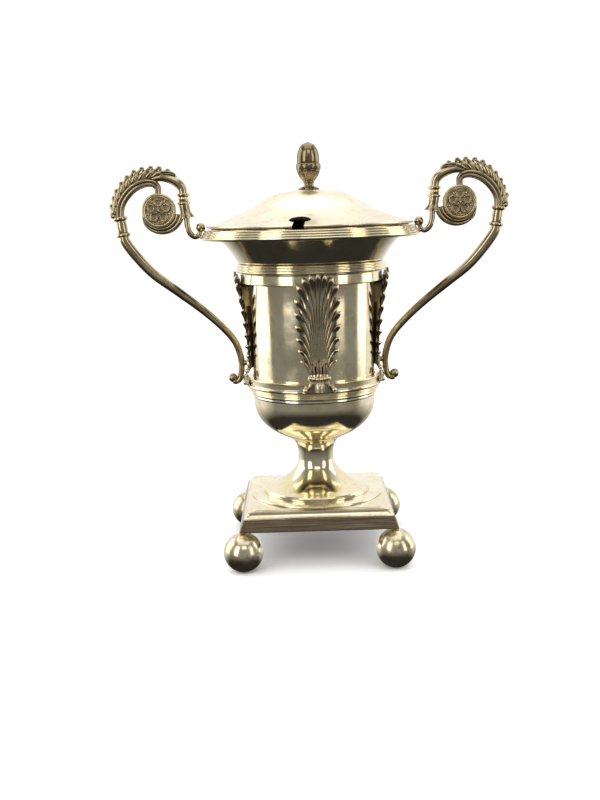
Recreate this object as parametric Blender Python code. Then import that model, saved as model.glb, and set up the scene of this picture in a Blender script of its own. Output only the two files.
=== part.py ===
"""Two-handled covered silver sugar bowl in the Empire style.

A vase-shaped bowl with a reeded rim stands on a turned pedestal, a square plinth and four ball feet.
Two scroll handles join its rim to its lower band, and its domed lid has a spoon notch and an acorn knob.

Frame: +Z up, origin on the table under the bowl's axis, handles along X, the lid's spoon notch towards -Y.
All dimensions below are in millimetres; the meshes are made in metres.
"""

import math

import bmesh
import bpy
from mathutils import Matrix, Vector

MM = 0.001
GAP = 0.3  # left between pieces that are soldered or rest together

# --- driving dimensions ------------------------------------------------------------------------
TURNED_SEGMENTS = 32
SMALL_SEGMENTS = 16

FOOT_R = 9.0
FOOT_FLAT_R = 2.2  # worn flat that each ball stands on
FOOT_SPREAD = 34.4  # ball centre from the axis, along X and along Y
FOOT_CENTRE_Z = math.sqrt(FOOT_R**2 - FOOT_FLAT_R**2)

PLINTH_Z = 18.0
PLINTH_HALF = 36.0
PLINTH_FASCIA_HALF = 34.3
PLINTH_FASCIA_Z = 23.8
PLINTH_TOP_HALF = 31.4
PLINTH_TOP_Z = 27.0
SHEET = 1.2  # thickness of the raised silver sheet

STEP_R = 31.2
STEP_TOP_Z = 28.4
PEDESTAL_R = 25.3
PEDESTAL_STEP_Z = 30.3
STEM_R = 8.4
STEM_WAIST_Z = 45.4
PEDESTAL_TOP_R = 12.4
PEDESTAL_TOP_Z = 53.9

BOWL_R = 28.4
BOWL_CENTRE_Z = 71.5
BOWL_DEPTH = 19.0
BOWL_TOP_Z = 75.7

BAND_Z = 74.6
BAND_TOP_Z = 84.2
BAND_R = 31.3

WALL_R = 28.4
WALL_TOP_R = 29.8
FRIEZE_Z = 127.6
FRIEZE_R = 32.8
NECK_R = 31.4
MOULDING_Z = 132.5
MOULDING_TOP_Z = 136.5
MOULDING_R = 34.5
FLARE_R = 41.8
FLARE_Z = 147.6
RIM_R = 50.3
RIM_Z = 147.7
RIM_TOP_Z = 152.0
MOUTH_R = 46.7

LID_R = 47.3
LID_Z = RIM_TOP_Z + GAP
LID_CROWN_Z = 168.9
LID_SHEET = 1.0
BEZEL_R = 41.4
BEZEL_Z = 149.7
NOTCH_HALF_WIDTH = 4.7
NOTCH_HALF_DEPTH = 3.2
NOTCH_CENTRE_R = 38.9
NOTCH_SLOT_WIDTH = 5.0
LID_TURN_DEG = -7.0  # the lid sits turned, so its notch is a little to the left of the front

KNOB_TOP_Z = 190.0
ACORN_R = 5.15
ACORN_Z = 180.4
CUP_R = 5.6
CUP_Z = 172.8
KNOB_BASE_R = 4.1
STUD_R = 1.0

STEM_STUD_R = 1.5

PALMETTE_Z = 80.4
PALMETTE_TOP_Z = 132.0
PALMETTE_NECK_Z = (84.6, 88.0)
PALMETTE_THICKNESS = 1.4
PALMETTE_LEAN = 5.0  # how far the leaf's tip stands out beyond its foot
PALMETTE_LOBES = 8
PALMETTE_SWELL = 0.9
PALMETTE_BEND_R = 70.0  # the leaf is bent much less than the wall behind it
PALMETTE_DRIFT_DEG = 3.5  # how far the front and back palmettes sit from the plinth's centre line

MEDALLION_X = 68.8
MEDALLION_Z = 161.5
MEDALLION_R = 7.9
VOLUTE_X = 67.1
VOLUTE_Z = 160.6
VOLUTE_R = 9.8

# --- materials ---------------------------------------------------------------------------------


def metal(name, colour, roughness):
    """A metallic Principled BSDF material."""
    made = bpy.data.materials.new(name)
    made.use_nodes = True
    shader = made.node_tree.nodes["Principled BSDF"]
    shader.inputs["Base Color"].default_value = (*colour, 1.0)
    shader.inputs["Metallic"].default_value = 1.0
    shader.inputs["Roughness"].default_value = roughness
    return made


def clear_scene():
    for obj in list(bpy.data.objects):
        bpy.data.objects.remove(obj)


# --- curves and rings --------------------------------------------------------------------------


def smooth(points, steps):
    """A Catmull-Rom curve through the points, with this many steps between two of them."""
    ends = [2 * Vector(points[0]) - Vector(points[1])]
    ends += [Vector(p) for p in points]
    ends.append(2 * ends[-1] - ends[-2])
    curve = []
    for i in range(1, len(ends) - 2):
        a, b, c, d = ends[i - 1 : i + 3]
        for k in range(steps):
            t = k / steps
            curve.append(
                0.5 * (2 * b + (c - a) * t + (2 * a - 5 * b + 4 * c - d) * t * t
                       + (3 * b - a - 3 * c + d) * t**3)
            )
    curve.append(ends[-2])
    return curve


def arc(centre, radius, start_deg, end_deg, count):
    """Points along an arc in a plane, ends included."""
    step = math.radians(end_deg - start_deg) / (count - 1)
    angles = [math.radians(start_deg) + step * i for i in range(count)]
    middle = Vector(centre)
    return [middle + radius * Vector((math.cos(a), math.sin(a))) for a in angles]


def circle_ring(radius, z, segments):
    """A horizontal ring of points round the axis."""
    turns = [2 * math.pi * i / segments for i in range(segments)]
    return [Vector((radius * math.cos(a), radius * math.sin(a), z)) for a in turns]


def square_ring(half, corner, z, per_corner):
    """A horizontal square ring with rounded corners, its first point in the +X +Y corner."""
    points = []
    for quarter in range(4):
        middle = Vector((half - corner, half - corner))
        turn = Matrix.Rotation(math.radians(90 * quarter), 2)
        points += [turn @ p for p in arc(middle, corner, 0, 90, per_corner)]
    return [Vector((p.x, p.y, z)) for p in points]


def matching_circle(radius, z, per_corner):
    """A round ring with as many points as square_ring, at matching places."""
    turns = []
    for quarter in range(4):
        turns += [math.radians(90 * quarter + 81 * i / (per_corner - 1) + 4.5) for i in range(per_corner)]
    return [Vector((radius * math.cos(a), radius * math.sin(a), z)) for a in turns]


# --- mesh builders -----------------------------------------------------------------------------


def mesh_from_rings(name, rings, closed):
    """Rings of equally many points skinned into one closed body.

    A closed list joins its last ring to its first, as a tube's wall does; otherwise the ends are capped.
    """
    bm = bmesh.new()
    rows = [[bm.verts.new(p * MM) for p in ring] for ring in rings]
    pairs = list(zip(rows, rows[1:] + rows[:1] if closed else rows[1:]))
    for low, high in pairs:
        count = len(low)
        for i in range(count):
            j = (i + 1) % count
            bm.faces.new((low[i], low[j], high[j], high[i]))
    if not closed:
        bm.faces.new(rows[0][::-1])
        bm.faces.new(rows[-1])
    return finished(name, bm)


def turned_mesh(name, outline, segments=TURNED_SEGMENTS):
    """A solid of revolution about Z. The outline is (radius, z) points round its section.

    An outline whose first and last points lie on the axis makes a solid body; any other makes a ring.
    """
    points = [Vector(p) for p in outline]
    on_axis = points[0].x < 1e-6 and points[-1].x < 1e-6
    if not on_axis:
        return mesh_from_rings(name, [circle_ring(p.x, p.y, segments) for p in points], closed=True)
    bm = bmesh.new()
    ends = [bm.verts.new((0, 0, points[0].y * MM)), bm.verts.new((0, 0, points[-1].y * MM))]
    rows = [[bm.verts.new(p * MM) for p in circle_ring(q.x, q.y, segments)] for q in points[1:-1]]
    for i in range(segments):
        j = (i + 1) % segments
        bm.faces.new((ends[0], rows[0][j], rows[0][i]))
        for low, high in zip(rows, rows[1:]):
            bm.faces.new((low[i], low[j], high[j], high[i]))
        bm.faces.new((ends[1], rows[-1][i], rows[-1][j]))
    return finished(name, bm)


def swept_mesh(name, path, radii, sides=10, depth=1.0):
    """A rod that follows a path in the XZ plane. depth stretches its section along Y."""
    rings = []
    for i, point in enumerate(path):
        before, after = path[max(i - 1, 0)], path[min(i + 1, len(path) - 1)]
        along = (after - before).normalized()
        across = Vector((along.y, -along.x))
        share = i / (len(path) - 1) * (len(radii) - 1)
        low = min(int(share), len(radii) - 2)
        radius = radii[low] + (radii[low + 1] - radii[low]) * (share - low)
        ring = []
        for k in range(sides):
            a = 2 * math.pi * k / sides
            flat = point + across * (radius * math.cos(a))
            ring.append(Vector((flat.x, radius * depth * math.sin(a), flat.y)))
        rings.append(ring)
    return mesh_from_rings(name, rings, closed=False)


def plate_mesh(name, outline, half_depth):
    """A plate in the XZ plane with this outline, extruded along Y."""
    bm = bmesh.new()
    verts = [bm.verts.new(Vector((p.x, -half_depth, p.y)) * MM) for p in outline]
    face = bm.faces.new(verts)
    moved = bmesh.ops.extrude_face_region(bm, geom=[face])["geom"]
    shift = Vector((0, 2 * half_depth * MM, 0))
    bmesh.ops.translate(bm, vec=shift, verts=[g for g in moved if isinstance(g, bmesh.types.BMVert)])
    return finished(name, bm)


def finished(name, bm):
    """The mesh with its faces pointing out and its round stretches shaded smooth."""
    bmesh.ops.recalc_face_normals(bm, faces=bm.faces)
    bmesh.ops.triangulate(bm, faces=[f for f in bm.faces if len(f.verts) > 4])
    mesh = bpy.data.meshes.new(name)
    bm.to_mesh(mesh)
    bm.free()
    mesh.shade_smooth()
    mesh.set_sharp_from_angle(angle=math.radians(35))
    return mesh


# --- placing -----------------------------------------------------------------------------------


def place(name, mesh, material, location=(0, 0, 0), turn_deg=0.0, parent=None):
    """An object of this mesh at a location in millimetres, turned about Z."""
    if not mesh.materials:
        mesh.materials.append(material)
    obj = bpy.data.objects.new(name, mesh)
    obj.location = Vector(location) * MM
    obj.rotation_euler.z = math.radians(turn_deg)
    obj.parent = parent
    bpy.context.scene.collection.objects.link(obj)
    return obj


def group(name, turn_deg=0.0):
    """An empty that holds the pieces of one assembly."""
    empty = bpy.data.objects.new(name, None)
    empty.rotation_euler.z = math.radians(turn_deg)
    bpy.context.scene.collection.objects.link(empty)
    return empty


def cutter(name, mesh, turn_deg=0.0):
    """A helper that cuts another object and isn't a piece itself."""
    obj = bpy.data.objects.new(name, mesh)
    obj.rotation_euler.z = math.radians(turn_deg)
    obj.hide_render = True
    obj.display_type = "WIRE"
    bpy.context.scene.collection.objects.link(obj)
    return obj


def boolean(obj, other, operation):
    modifier = obj.modifiers.new(operation.title(), "BOOLEAN")
    modifier.operation = operation
    modifier.object = other


# --- the foot: ball feet, plinth, step, pedestal and the bolt that holds them together -----------


def ball_foot_mesh():
    """A ball with a small flat to stand on and another against the plinth."""
    centre = (0, FOOT_CENTRE_Z)
    edge_deg = math.degrees(math.asin(FOOT_FLAT_R / FOOT_R)) - 90
    side = arc(centre, FOOT_R, edge_deg, 84, 8)
    return turned_mesh("ball_foot", [(0, 0), *side, (0, side[-1].y)], 16)


def plinth_mesh():
    """The stamped square plinth: a sloping fascia, a cavetto above it and a flat top with the bolt's hole."""
    per_corner = 4
    top_under = PLINTH_TOP_Z - SHEET
    rings = [
        square_ring(PLINTH_HALF, 0.6, PLINTH_Z, per_corner),
        square_ring(PLINTH_FASCIA_HALF, 0.8, PLINTH_FASCIA_Z, per_corner),
        square_ring(PLINTH_TOP_HALF + 1.1, 1.4, PLINTH_FASCIA_Z + 1.4, per_corner),
        square_ring(PLINTH_TOP_HALF, 2.6, PLINTH_TOP_Z, per_corner),
        matching_circle(STEM_STUD_R + 0.5, PLINTH_TOP_Z, per_corner),
        matching_circle(STEM_STUD_R + 0.5, top_under, per_corner),
        square_ring(PLINTH_TOP_HALF - SHEET, 1.8, top_under, per_corner),
        square_ring(PLINTH_FASCIA_HALF - SHEET, 0.5, PLINTH_FASCIA_Z - 0.6, per_corner),
        square_ring(PLINTH_HALF - SHEET, 0.4, PLINTH_Z, per_corner),
    ]
    return mesh_from_rings("plinth", rings, closed=True)


def step_ring_outline():
    """The round step between the plinth and the pedestal."""
    low = PLINTH_TOP_Z + GAP
    inner = PEDESTAL_R - 3.0
    edge = [(STEP_R, low), (STEP_R - 0.1, STEP_TOP_Z - 0.5), (STEP_R - 0.6, STEP_TOP_Z)]
    return [*edge, (inner, STEP_TOP_Z), (inner, low)]


def pedestal_outline():
    """A trumpet foot with a stepped edge, hollow inside, dished on top to seat the bowl."""
    low = STEP_TOP_Z + GAP
    outside = smooth(
        [
            (PEDESTAL_R - 1.0, PEDESTAL_STEP_Z),
            (20.0, 31.4),
            (15.2, 34.0),
            (11.2, 37.8),
            (STEM_R + 0.4, 41.4),
            (STEM_R, STEM_WAIST_Z),
            (STEM_R + 0.5, 49.6),
            (10.4, 52.4),
            (PEDESTAL_TOP_R, PEDESTAL_TOP_Z),
        ],
        1,
    )
    seat = [(8.0, 52.5), (STEM_STUD_R + 0.6, 51.8)]
    inside = [
        (STEM_STUD_R + 0.6, 50.2),
        (STEM_R - SHEET, 48.4),
        (STEM_R - SHEET, 41.4),
        (13.0, 34.2),
        (20.0, 30.2),
        (PEDESTAL_R - 2.2, low),
    ]
    return [(PEDESTAL_R, low), (PEDESTAL_R, PEDESTAL_STEP_Z - 0.5), *outside, *seat, *inside]


def hex_nut_mesh(name, across_flats, bore_r, low, high):
    """A hexagonal nut about the axis, its bore six-sided so that each wall is a plain quad."""
    corner_r = across_flats / math.sqrt(3)
    bore_corner_r = bore_r / math.cos(math.pi / 6)
    rings = [circle_ring(corner_r, low, 6), circle_ring(corner_r, high, 6)]
    rings += [circle_ring(bore_corner_r, high, 6), circle_ring(bore_corner_r, low, 6)]
    return mesh_from_rings(name, rings, closed=True)


def build_foot(silver, dark):
    ball = ball_foot_mesh()
    for side_y, end in ((-1, "front"), (1, "back")):
        for side_x, hand in ((-1, "left"), (1, "right")):
            spot = (side_x * FOOT_SPREAD, side_y * FOOT_SPREAD, 0)
            place(f"ball_foot_{end}_{hand}", ball, silver, spot)
    place("plinth", plinth_mesh(), silver)
    place("step_ring", turned_mesh("step_ring", step_ring_outline()), silver)
    place("pedestal", turned_mesh("pedestal", pedestal_outline()), silver)

    washer_top = PLINTH_TOP_Z - SHEET - GAP
    washer_low = washer_top - 0.8
    bore = STEM_STUD_R + GAP
    washer = [(bore, washer_low), (5.0, washer_low), (5.0, washer_top), (bore, washer_top)]
    place("pedestal_washer", turned_mesh("pedestal_washer", washer, SMALL_SEGMENTS), dark)
    nut_top = washer_low - GAP
    place("pedestal_nut", hex_nut_mesh("pedestal_nut", 6.0, bore, nut_top - 2.4, nut_top), dark)
    stud_low, stud_top = nut_top - 3.4, 52.0
    stud = [(0, stud_low), (STEM_STUD_R, stud_low), (STEM_STUD_R, stud_top), (0, stud_top)]
    place("pedestal_stud", turned_mesh("pedestal_stud", stud, 12), dark)


# --- the bowl: bottom, wall, mouldings and rim ----------------------------------------------------


def ellipse_points(radius, depth, start_deg, end_deg, count):
    """Points (radius, z) along the bowl's rounded bottom, 0 degrees at its widest and -90 under it."""
    unit = arc((0, 0), 1.0, start_deg, end_deg, count)
    return [Vector((radius * p.x, BOWL_CENTRE_Z + depth * p.y)) for p in unit]


def bowl_bottom_outline():
    outside = ellipse_points(BOWL_R, BOWL_DEPTH, -90, 0, 9)
    inside = ellipse_points(BOWL_R - SHEET, BOWL_DEPTH - SHEET, 0, -90, 6)
    outside[0].x = inside[-1].x = 0.0
    return [*outside, (BOWL_R, BOWL_TOP_Z), (BOWL_R - SHEET, BOWL_TOP_Z), *inside]


def lower_band_outline():
    """The applied band round the bowl's shoulder: a raised lip, a plain frieze, a torus and thinner reeds."""
    inner = WALL_R + GAP
    steps_in_and_down = [
        (0.0, 0.0),
        (0.0, 0.6),
        (0.6, 0.9),
        (0.6, 2.9),
        (0.1, 3.6),
        (0.1, 4.3),
        (1.1, 5.1),
        (0.8, 5.8),
        (1.5, 6.5),
        (1.3, 7.3),
        (2.0, 8.0),
        (1.9, 8.8),
    ]
    outside = [(BAND_R - inward, BAND_TOP_Z - down) for inward, down in steps_in_and_down]
    return [(inner, BAND_TOP_Z), *outside, (BAND_R - 2.3, BAND_Z), (inner, BAND_Z)]


def flare_curve(radius_shift):
    """The trumpet mouth, from the moulding up to the rim."""
    points = [(33.4, 137.0), (35.3, 139.8), (37.8, 143.2), (FLARE_R, FLARE_Z), (MOUTH_R, RIM_TOP_Z - 0.6)]
    return [Vector((r - radius_shift, z + 0.35 * radius_shift)) for r, z in points]


def body_wall_outline():
    """The straight wall, the frieze that stands out from it and the flared mouth, raised from one sheet."""
    foot_z = BOWL_TOP_Z + GAP
    outside = [
        (WALL_R, foot_z),
        (WALL_R + 0.1, 88.0),
        (WALL_TOP_R, FRIEZE_Z - 0.3),
        (FRIEZE_R - 0.4, FRIEZE_Z - 0.1),
        (FRIEZE_R, FRIEZE_Z + 0.3),
        (FRIEZE_R, MOULDING_Z - 0.3),
        (NECK_R, MOULDING_Z - 0.3),
        (NECK_R, MOULDING_TOP_Z + GAP),
        *flare_curve(0.0),
        (MOUTH_R, RIM_TOP_Z),
    ]
    inside = [
        (MOUTH_R - SHEET, RIM_TOP_Z),
        *reversed(flare_curve(SHEET)),
        (NECK_R - SHEET, 134.0),
        (WALL_TOP_R - SHEET, FRIEZE_Z),
        (WALL_R - SHEET, 88.0),
        (WALL_R - SHEET, foot_z),
    ]
    return [*outside, *inside]


def upper_moulding_outline():
    """Three reeds side by side round the neck."""
    reed = (MOULDING_TOP_Z - MOULDING_Z) / 3
    inner = NECK_R + GAP
    reeds = []
    for i in range(3):
        low = MOULDING_Z + i * reed
        reeds += [
            (MOULDING_R - 0.6, low + 0.08),
            (MOULDING_R, low + 0.5 * reed),
        ]
    return [(inner, MOULDING_Z), *reeds, (MOULDING_R - 0.6, MOULDING_TOP_Z), (inner, MOULDING_TOP_Z)]


def rim_outline():
    """The heavy rim: its outer face slopes out and down in four reeds, its inner side backs the mouth."""
    reeds = []
    for i in range(4):
        share = i / 4
        r = MOUTH_R + 0.8 + (RIM_R - MOUTH_R - 0.8) * (share + 0.25)
        z = RIM_TOP_Z - (RIM_TOP_Z - RIM_Z) * (share + 0.1)
        reeds += [(r, z), (r - 0.25, z - 0.8)]
    mouth = MOUTH_R + GAP
    inside = [(FLARE_R + 0.7, RIM_Z), (44.9, 149.4), (mouth, RIM_TOP_Z - 0.9), (mouth, RIM_TOP_Z)]
    return [(MOUTH_R + 0.9, RIM_TOP_Z), *reeds, (RIM_R - 0.4, RIM_Z), *inside]


def build_bowl(silver):
    place("bowl_bottom", turned_mesh("bowl_bottom", bowl_bottom_outline()), silver)
    place("lower_band", turned_mesh("lower_band", lower_band_outline()), silver)
    place("body_wall", turned_mesh("body_wall", body_wall_outline()), silver)
    place("upper_moulding", turned_mesh("upper_moulding", upper_moulding_outline()), silver)
    place("rim_wire", turned_mesh("rim_wire", rim_outline()), silver)


# --- the four cast palmettes ---------------------------------------------------------------------


def palmette_half_width(z):
    """Half the leaf's width at a height: a spreading foot, a waist, then lobes that swell and close."""
    envelope = smooth(
        [
            (6.7, PALMETTE_Z),
            (4.2, 84.6),
            (5.6, 90.0),
            (8.0, 98.0),
            (9.3, 110.0),
            (9.6, 120.0),
            (8.0, 127.0),
            (3.4, PALMETTE_TOP_Z),
        ],
        6,
    )
    for low, high in zip(envelope, envelope[1:]):
        if z <= high.y + 1e-6:
            share = (z - low.y) / (high.y - low.y)
            return low.x + (high.x - low.x) * share
    return envelope[-1].x


def palmette_back_r(z):
    """The leaf's back clears the band at its foot, comes in to the wall and leans out over the frieze."""
    over_band = BAND_R + GAP
    by_wall = WALL_R + 0.8
    if z <= PALMETTE_NECK_Z[0]:
        return over_band
    if z <= PALMETTE_NECK_Z[1]:
        share = (z - PALMETTE_NECK_Z[0]) / (PALMETTE_NECK_Z[1] - PALMETTE_NECK_Z[0])
        return over_band + (by_wall - over_band) * share
    lean = (z - PALMETTE_NECK_Z[1]) / (PALMETTE_TOP_Z - PALMETTE_NECK_Z[1])
    return by_wall + PALMETTE_LEAN * lean**2


def palmette_mesh():
    """A leaf-shaped plate, slightly bent, facing -Y. Its edge swells at each lobe."""
    heights = [PALMETTE_Z, 82.4, *PALMETTE_NECK_Z]
    half_lobe = (PALMETTE_TOP_Z - PALMETTE_NECK_Z[1]) / (2 * PALMETTE_LOBES)
    heights += [PALMETTE_NECK_Z[1] + half_lobe * i for i in range(1, 2 * PALMETTE_LOBES + 1)]
    bm = bmesh.new()
    front, back = [], []
    for i, z in enumerate(heights):
        swell = PALMETTE_SWELL if i > 3 and i % 2 == 0 else 0.0
        half = palmette_half_width(z) + swell
        for skin, depths in ((back, (0, 0, 0)), (front, (0.7, PALMETTE_THICKNESS, 0.7))):
            row = []
            for across, depth in zip((-1, 0, 1), depths):
                a = across * half / PALMETTE_BEND_R
                out = palmette_back_r(z) + depth - PALMETTE_BEND_R * (1 - math.cos(a))
                row.append(bm.verts.new(Vector((PALMETTE_BEND_R * math.sin(a), -out, z)) * MM))
            skin.append(row)
    rings = [[*low, *high[::-1]] for low, high in zip(front, back)]
    for low, high in zip(rings, rings[1:]):
        for i in range(len(low)):
            j = (i + 1) % len(low)
            bm.faces.new((low[i], low[j], high[j], high[i]))
    bm.faces.new(rings[0][::-1])
    bm.faces.new(rings[-1])
    return finished("palmette", bm)


def build_palmettes(silver):
    mesh = palmette_mesh()
    places = {"front": PALMETTE_DRIFT_DEG, "right": 90, "back": 180 + PALMETTE_DRIFT_DEG, "left": 270}
    for side, turn in places.items():
        place(f"palmette_{side}", mesh, silver, turn_deg=turn)


# --- the handles, drawn in the XZ plane at +X ------------------------------------------------------


def with_ball(name, mesh, centre, radius, holder):
    """The object with a ball joined to its end, as one casting."""
    ball = [(0, -radius), *arc((0, 0), radius, -60, 60, 5), (0, radius)]
    ball_mesh = turned_mesh(name + "_ball", ball, 10)
    ball_mesh.transform(Matrix.Translation(Vector((centre[0], 0, centre[1])) * MM))
    helper = cutter(name + "_ball_shape", ball_mesh)
    helper.parent = holder
    return mesh, helper


def arm_path():
    """The long S of the handle, from its curled foot on the palmette up to the collar."""
    return smooth(
        [
            (38.0, 81.4),
            (36.3, 81.2),
            (35.2, 82.8),
            (34.8, 86.6),
            (35.0, 92.5),
            (37.0, 100.4),
            (42.3, 107.5),
            (51.4, 115.9),
            (62.0, 124.3),
            (72.6, 132.6),
            (80.0, 140.8),
            (84.7, 147.5),
            (85.3, 149.7),
        ],
        1,
    )


def collar_mesh(name, low, high, body_r, ring_r, end_rings):
    """A short sleeve between two rings, leaning the way low and high points lie."""
    low, high = Vector(low), Vector(high)
    along = (high - low).normalized()
    length = (high - low).length
    ring_height = end_rings
    stations = [
        (0.0, ring_r - 0.5),
        (0.25 * ring_height, ring_r),
        (0.75 * ring_height, ring_r),
        (ring_height, body_r),
        (length - ring_height, body_r),
        (length - 0.75 * ring_height, ring_r),
        (length - 0.25 * ring_height, ring_r),
        (length, ring_r - 0.5),
    ]
    across = Vector((along.y, -along.x))
    rings = []
    for distance, radius in stations:
        middle = low + along * distance
        ring = []
        for k in range(10):
            a = 2 * math.pi * k / 10
            flat = middle + across * (radius * math.cos(a))
            ring.append(Vector((flat.x, radius * math.sin(a), flat.y)))
        rings.append(ring)
    return mesh_from_rings(name, rings, closed=False)


def arch_path():
    """The ribbed arch, from the lower collar over the medallion to the drop that holds it."""
    return smooth(
        [
            (86.8, 159.7),
            (86.2, 163.6),
            (83.7, 168.2),
            (79.6, 172.0),
            (74.8, 173.9),
            (70.8, 173.7),
            (68.9, 171.9),
            (68.8, 169.9),
        ],
        2,
    )


def crest_mesh():
    """The leaf crest on the arch's outer side, its edge broken into eleven rounded tips."""
    knobs = 11
    inner_points = [(89.4, 159.3), (88.6, 164.2), (86.0, 169.5), (81.2, 174.0)]
    inner_points += [(75.2, 176.5), (69.0, 178.2), (64.0, 178.6)]
    outer_points = [(90.3, 159.3), (90.2, 164.6), (87.9, 171.2), (82.6, 177.3)]
    outer_points += [(75.5, 180.6), (69.0, 181.0), (63.4, 179.6)]
    inner = smooth(inner_points, 3)
    outer_line = smooth(outer_points, 12)
    outer = []
    for i in range(4 * knobs + 1):
        share = i / (4 * knobs)
        place_on = share * (len(outer_line) - 1)
        low = min(int(place_on), len(outer_line) - 2)
        point = outer_line[low].lerp(outer_line[low + 1], place_on - low)
        along = (outer_line[low + 1] - outer_line[low]).normalized()
        outward = Vector((along.y, -along.x))
        outer.append(point + outward * 0.75 * abs(math.sin(math.pi * knobs * share)) * 0.55)
    return plate_mesh("crest", [*inner, *reversed(outer)], 1.7)


def calyx_mesh():
    """The leafy cup that the rim hook grows from, widest at its lower lip."""
    top, bottom = Vector((57.2, 163.8)), Vector((56.3, 157.8))
    along = (bottom - top).normalized()
    across = Vector((along.y, -along.x))
    length = (bottom - top).length
    shape = [(0.0, 2.2), (0.25, 2.6), (0.6, 2.45), (0.88, 2.7), (1.0, 2.3)]
    rings = []
    for share, radius in shape:
        middle = top + along * (share * length)
        ring = []
        for k in range(10):
            a = 2 * math.pi * k / 10
            flat = middle + across * (radius * math.cos(a))
            ring.append(Vector((flat.x, radius * math.sin(a), flat.y)))
        rings.append(ring)
    return mesh_from_rings("calyx", rings, closed=False)


def medallion_mesh():
    """The round medallion, a raised edge and a flower boss on each face, turned about an axis along Y."""
    face = [(0, 2.0), (1.6, 1.8), (2.8, 1.2), (5.8, 1.2), (6.6, 1.9), (7.4, 1.9), (MEDALLION_R, 1.1)]
    outline = [(r, -y) for r, y in face] + [(r, y) for r, y in reversed(face)]
    mesh = turned_mesh("medallion", outline, 20)
    mesh.transform(Matrix.Rotation(math.radians(90), 4, "X"))
    mesh.transform(Matrix.Translation(Vector((MEDALLION_X, 0, MEDALLION_Z)) * MM))
    return mesh


def volute_mesh():
    """The scroll that grows from the calyx, sweeps under the medallion and closes on its far side."""
    outer = arc((VOLUTE_X, VOLUTE_Z), VOLUTE_R, 221, 352, 12)
    inner = arc((MEDALLION_X, MEDALLION_Z), MEDALLION_R + GAP, 354, 205, 14)
    return plate_mesh("volute", [*outer, *inner], 1.8)


def build_handle(hand, holder, meshes, silver):
    """One handle from the shared meshes, held by its empty."""
    for part, mesh in meshes.items():
        place(f"{hand}_{part}", mesh, silver, parent=holder)


def build_handles(silver):
    hook_points = [(56.2, 157.3), (56.2, 154.6), (55.2, 151.2), (53.2, 149.1), (51.2, 149.4), (50.4, 152.0)]
    hook_path = smooth(hook_points, 2)
    crook_path = smooth([(57.4, 169.3), (57.9, 171.3), (60.0, 173.9), (63.0, 175.3), (65.8, 175.8)], 2)
    arm_radii = [1.2, 1.5, 1.7, 1.7, 1.75, 1.85, 1.95, 2.1, 2.25, 2.35, 2.4, 2.35, 2.2]
    meshes = {
        "lower_collar": collar_mesh("lower_collar", (85.5, 150.4), (86.7, 158.8), 2.5, 3.2, 1.6),
        "arch": swept_mesh("arch", arch_path(), [1.75, 1.9, 2.0, 1.9, 1.5, 1.4], 8),
        "crest": crest_mesh(),
        "crook": swept_mesh("crook", crook_path, [2.2, 2.2], 8),
        "upper_collar": collar_mesh("upper_collar", (57.3, 164.5), (57.35, 168.5), 2.3, 2.8, 1.3),
        "calyx": calyx_mesh(),
        "medallion": medallion_mesh(),
        "volute": volute_mesh(),
    }
    arm_mesh = swept_mesh("arm", arm_path(), arm_radii, 8)
    hook_mesh = swept_mesh("rim_hook", hook_path, [1.2, 1.25, 1.35, 1.35, 1.2, 1.0], 8)
    for hand, turn in (("right", 0), ("left", 180)):
        holder = group(f"{hand}_handle", turn)
        build_handle(hand, holder, meshes, silver)
        for part, mesh, centre, radius in (
            ("arm", arm_mesh, (37.9, 83.0), 2.3),
            ("rim_hook", hook_mesh, (50.1, 153.2), 1.9),
        ):
            name = f"{hand}_{part}"
            own, ball = with_ball(name, mesh.copy(), centre, radius, holder)
            boolean(place(name, own, silver, parent=holder), ball, "UNION")


# --- the lid ---------------------------------------------------------------------------------------


def lid_curve(drop):
    """The lid's section from its bored centre out to its edge: a flat crown, then a long hollow slope."""
    points = [(9.5, 168.5), (15.2, 167.6), (20.4, 165.2), (27.4, 161.1), (35.8, 157.3), (43.8, 154.5)]
    points.append((LID_R - 0.4, 153.6))
    return [Vector((r, z - drop)) for r, z in points]


def lid_outline():
    bore = STUD_R + GAP
    under = lid_curve(LID_SHEET)
    return [
        (bore, LID_CROWN_Z),
        *lid_curve(0.0),
        (LID_R, 153.2),
        (LID_R - 0.1, LID_Z),
        (LID_R - 1.2, LID_Z),
        *reversed(under[:-1]),
        (bore, LID_CROWN_Z - LID_SHEET),
    ]


def bezel_outline():
    """The ring under the lid that centres it in the mouth."""
    top = 154.3
    return [
        (BEZEL_R, BEZEL_Z),
        (BEZEL_R, top - 0.4),
        (BEZEL_R - 0.8, top),
        (BEZEL_R - 0.8, BEZEL_Z),
    ]


def notch_cutter_mesh():
    """A keyhole prism: an oval eye for the spoon's stem, open to the lid's edge through a slot."""
    half_slot = NOTCH_SLOT_WIDTH / 2
    meet_deg = math.degrees(math.asin(half_slot / NOTCH_HALF_WIDTH))
    eye = [
        Vector((NOTCH_HALF_WIDTH * p.x, NOTCH_HALF_DEPTH * p.y - NOTCH_CENTRE_R))
        for p in arc((0, 0), 1.0, -90 + meet_deg, 270 - meet_deg, 17)
    ]
    outer = -(LID_R + 4.0)
    plan = [*eye, Vector((-half_slot, outer)), Vector((half_slot, outer))]
    low, high = BEZEL_Z - 3.0, LID_CROWN_Z - 4.0
    rings = [[Vector((p.x, p.y, z)) for p in plan] for z in (low, high)]
    return mesh_from_rings("notch_cutter", rings, closed=False)


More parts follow.
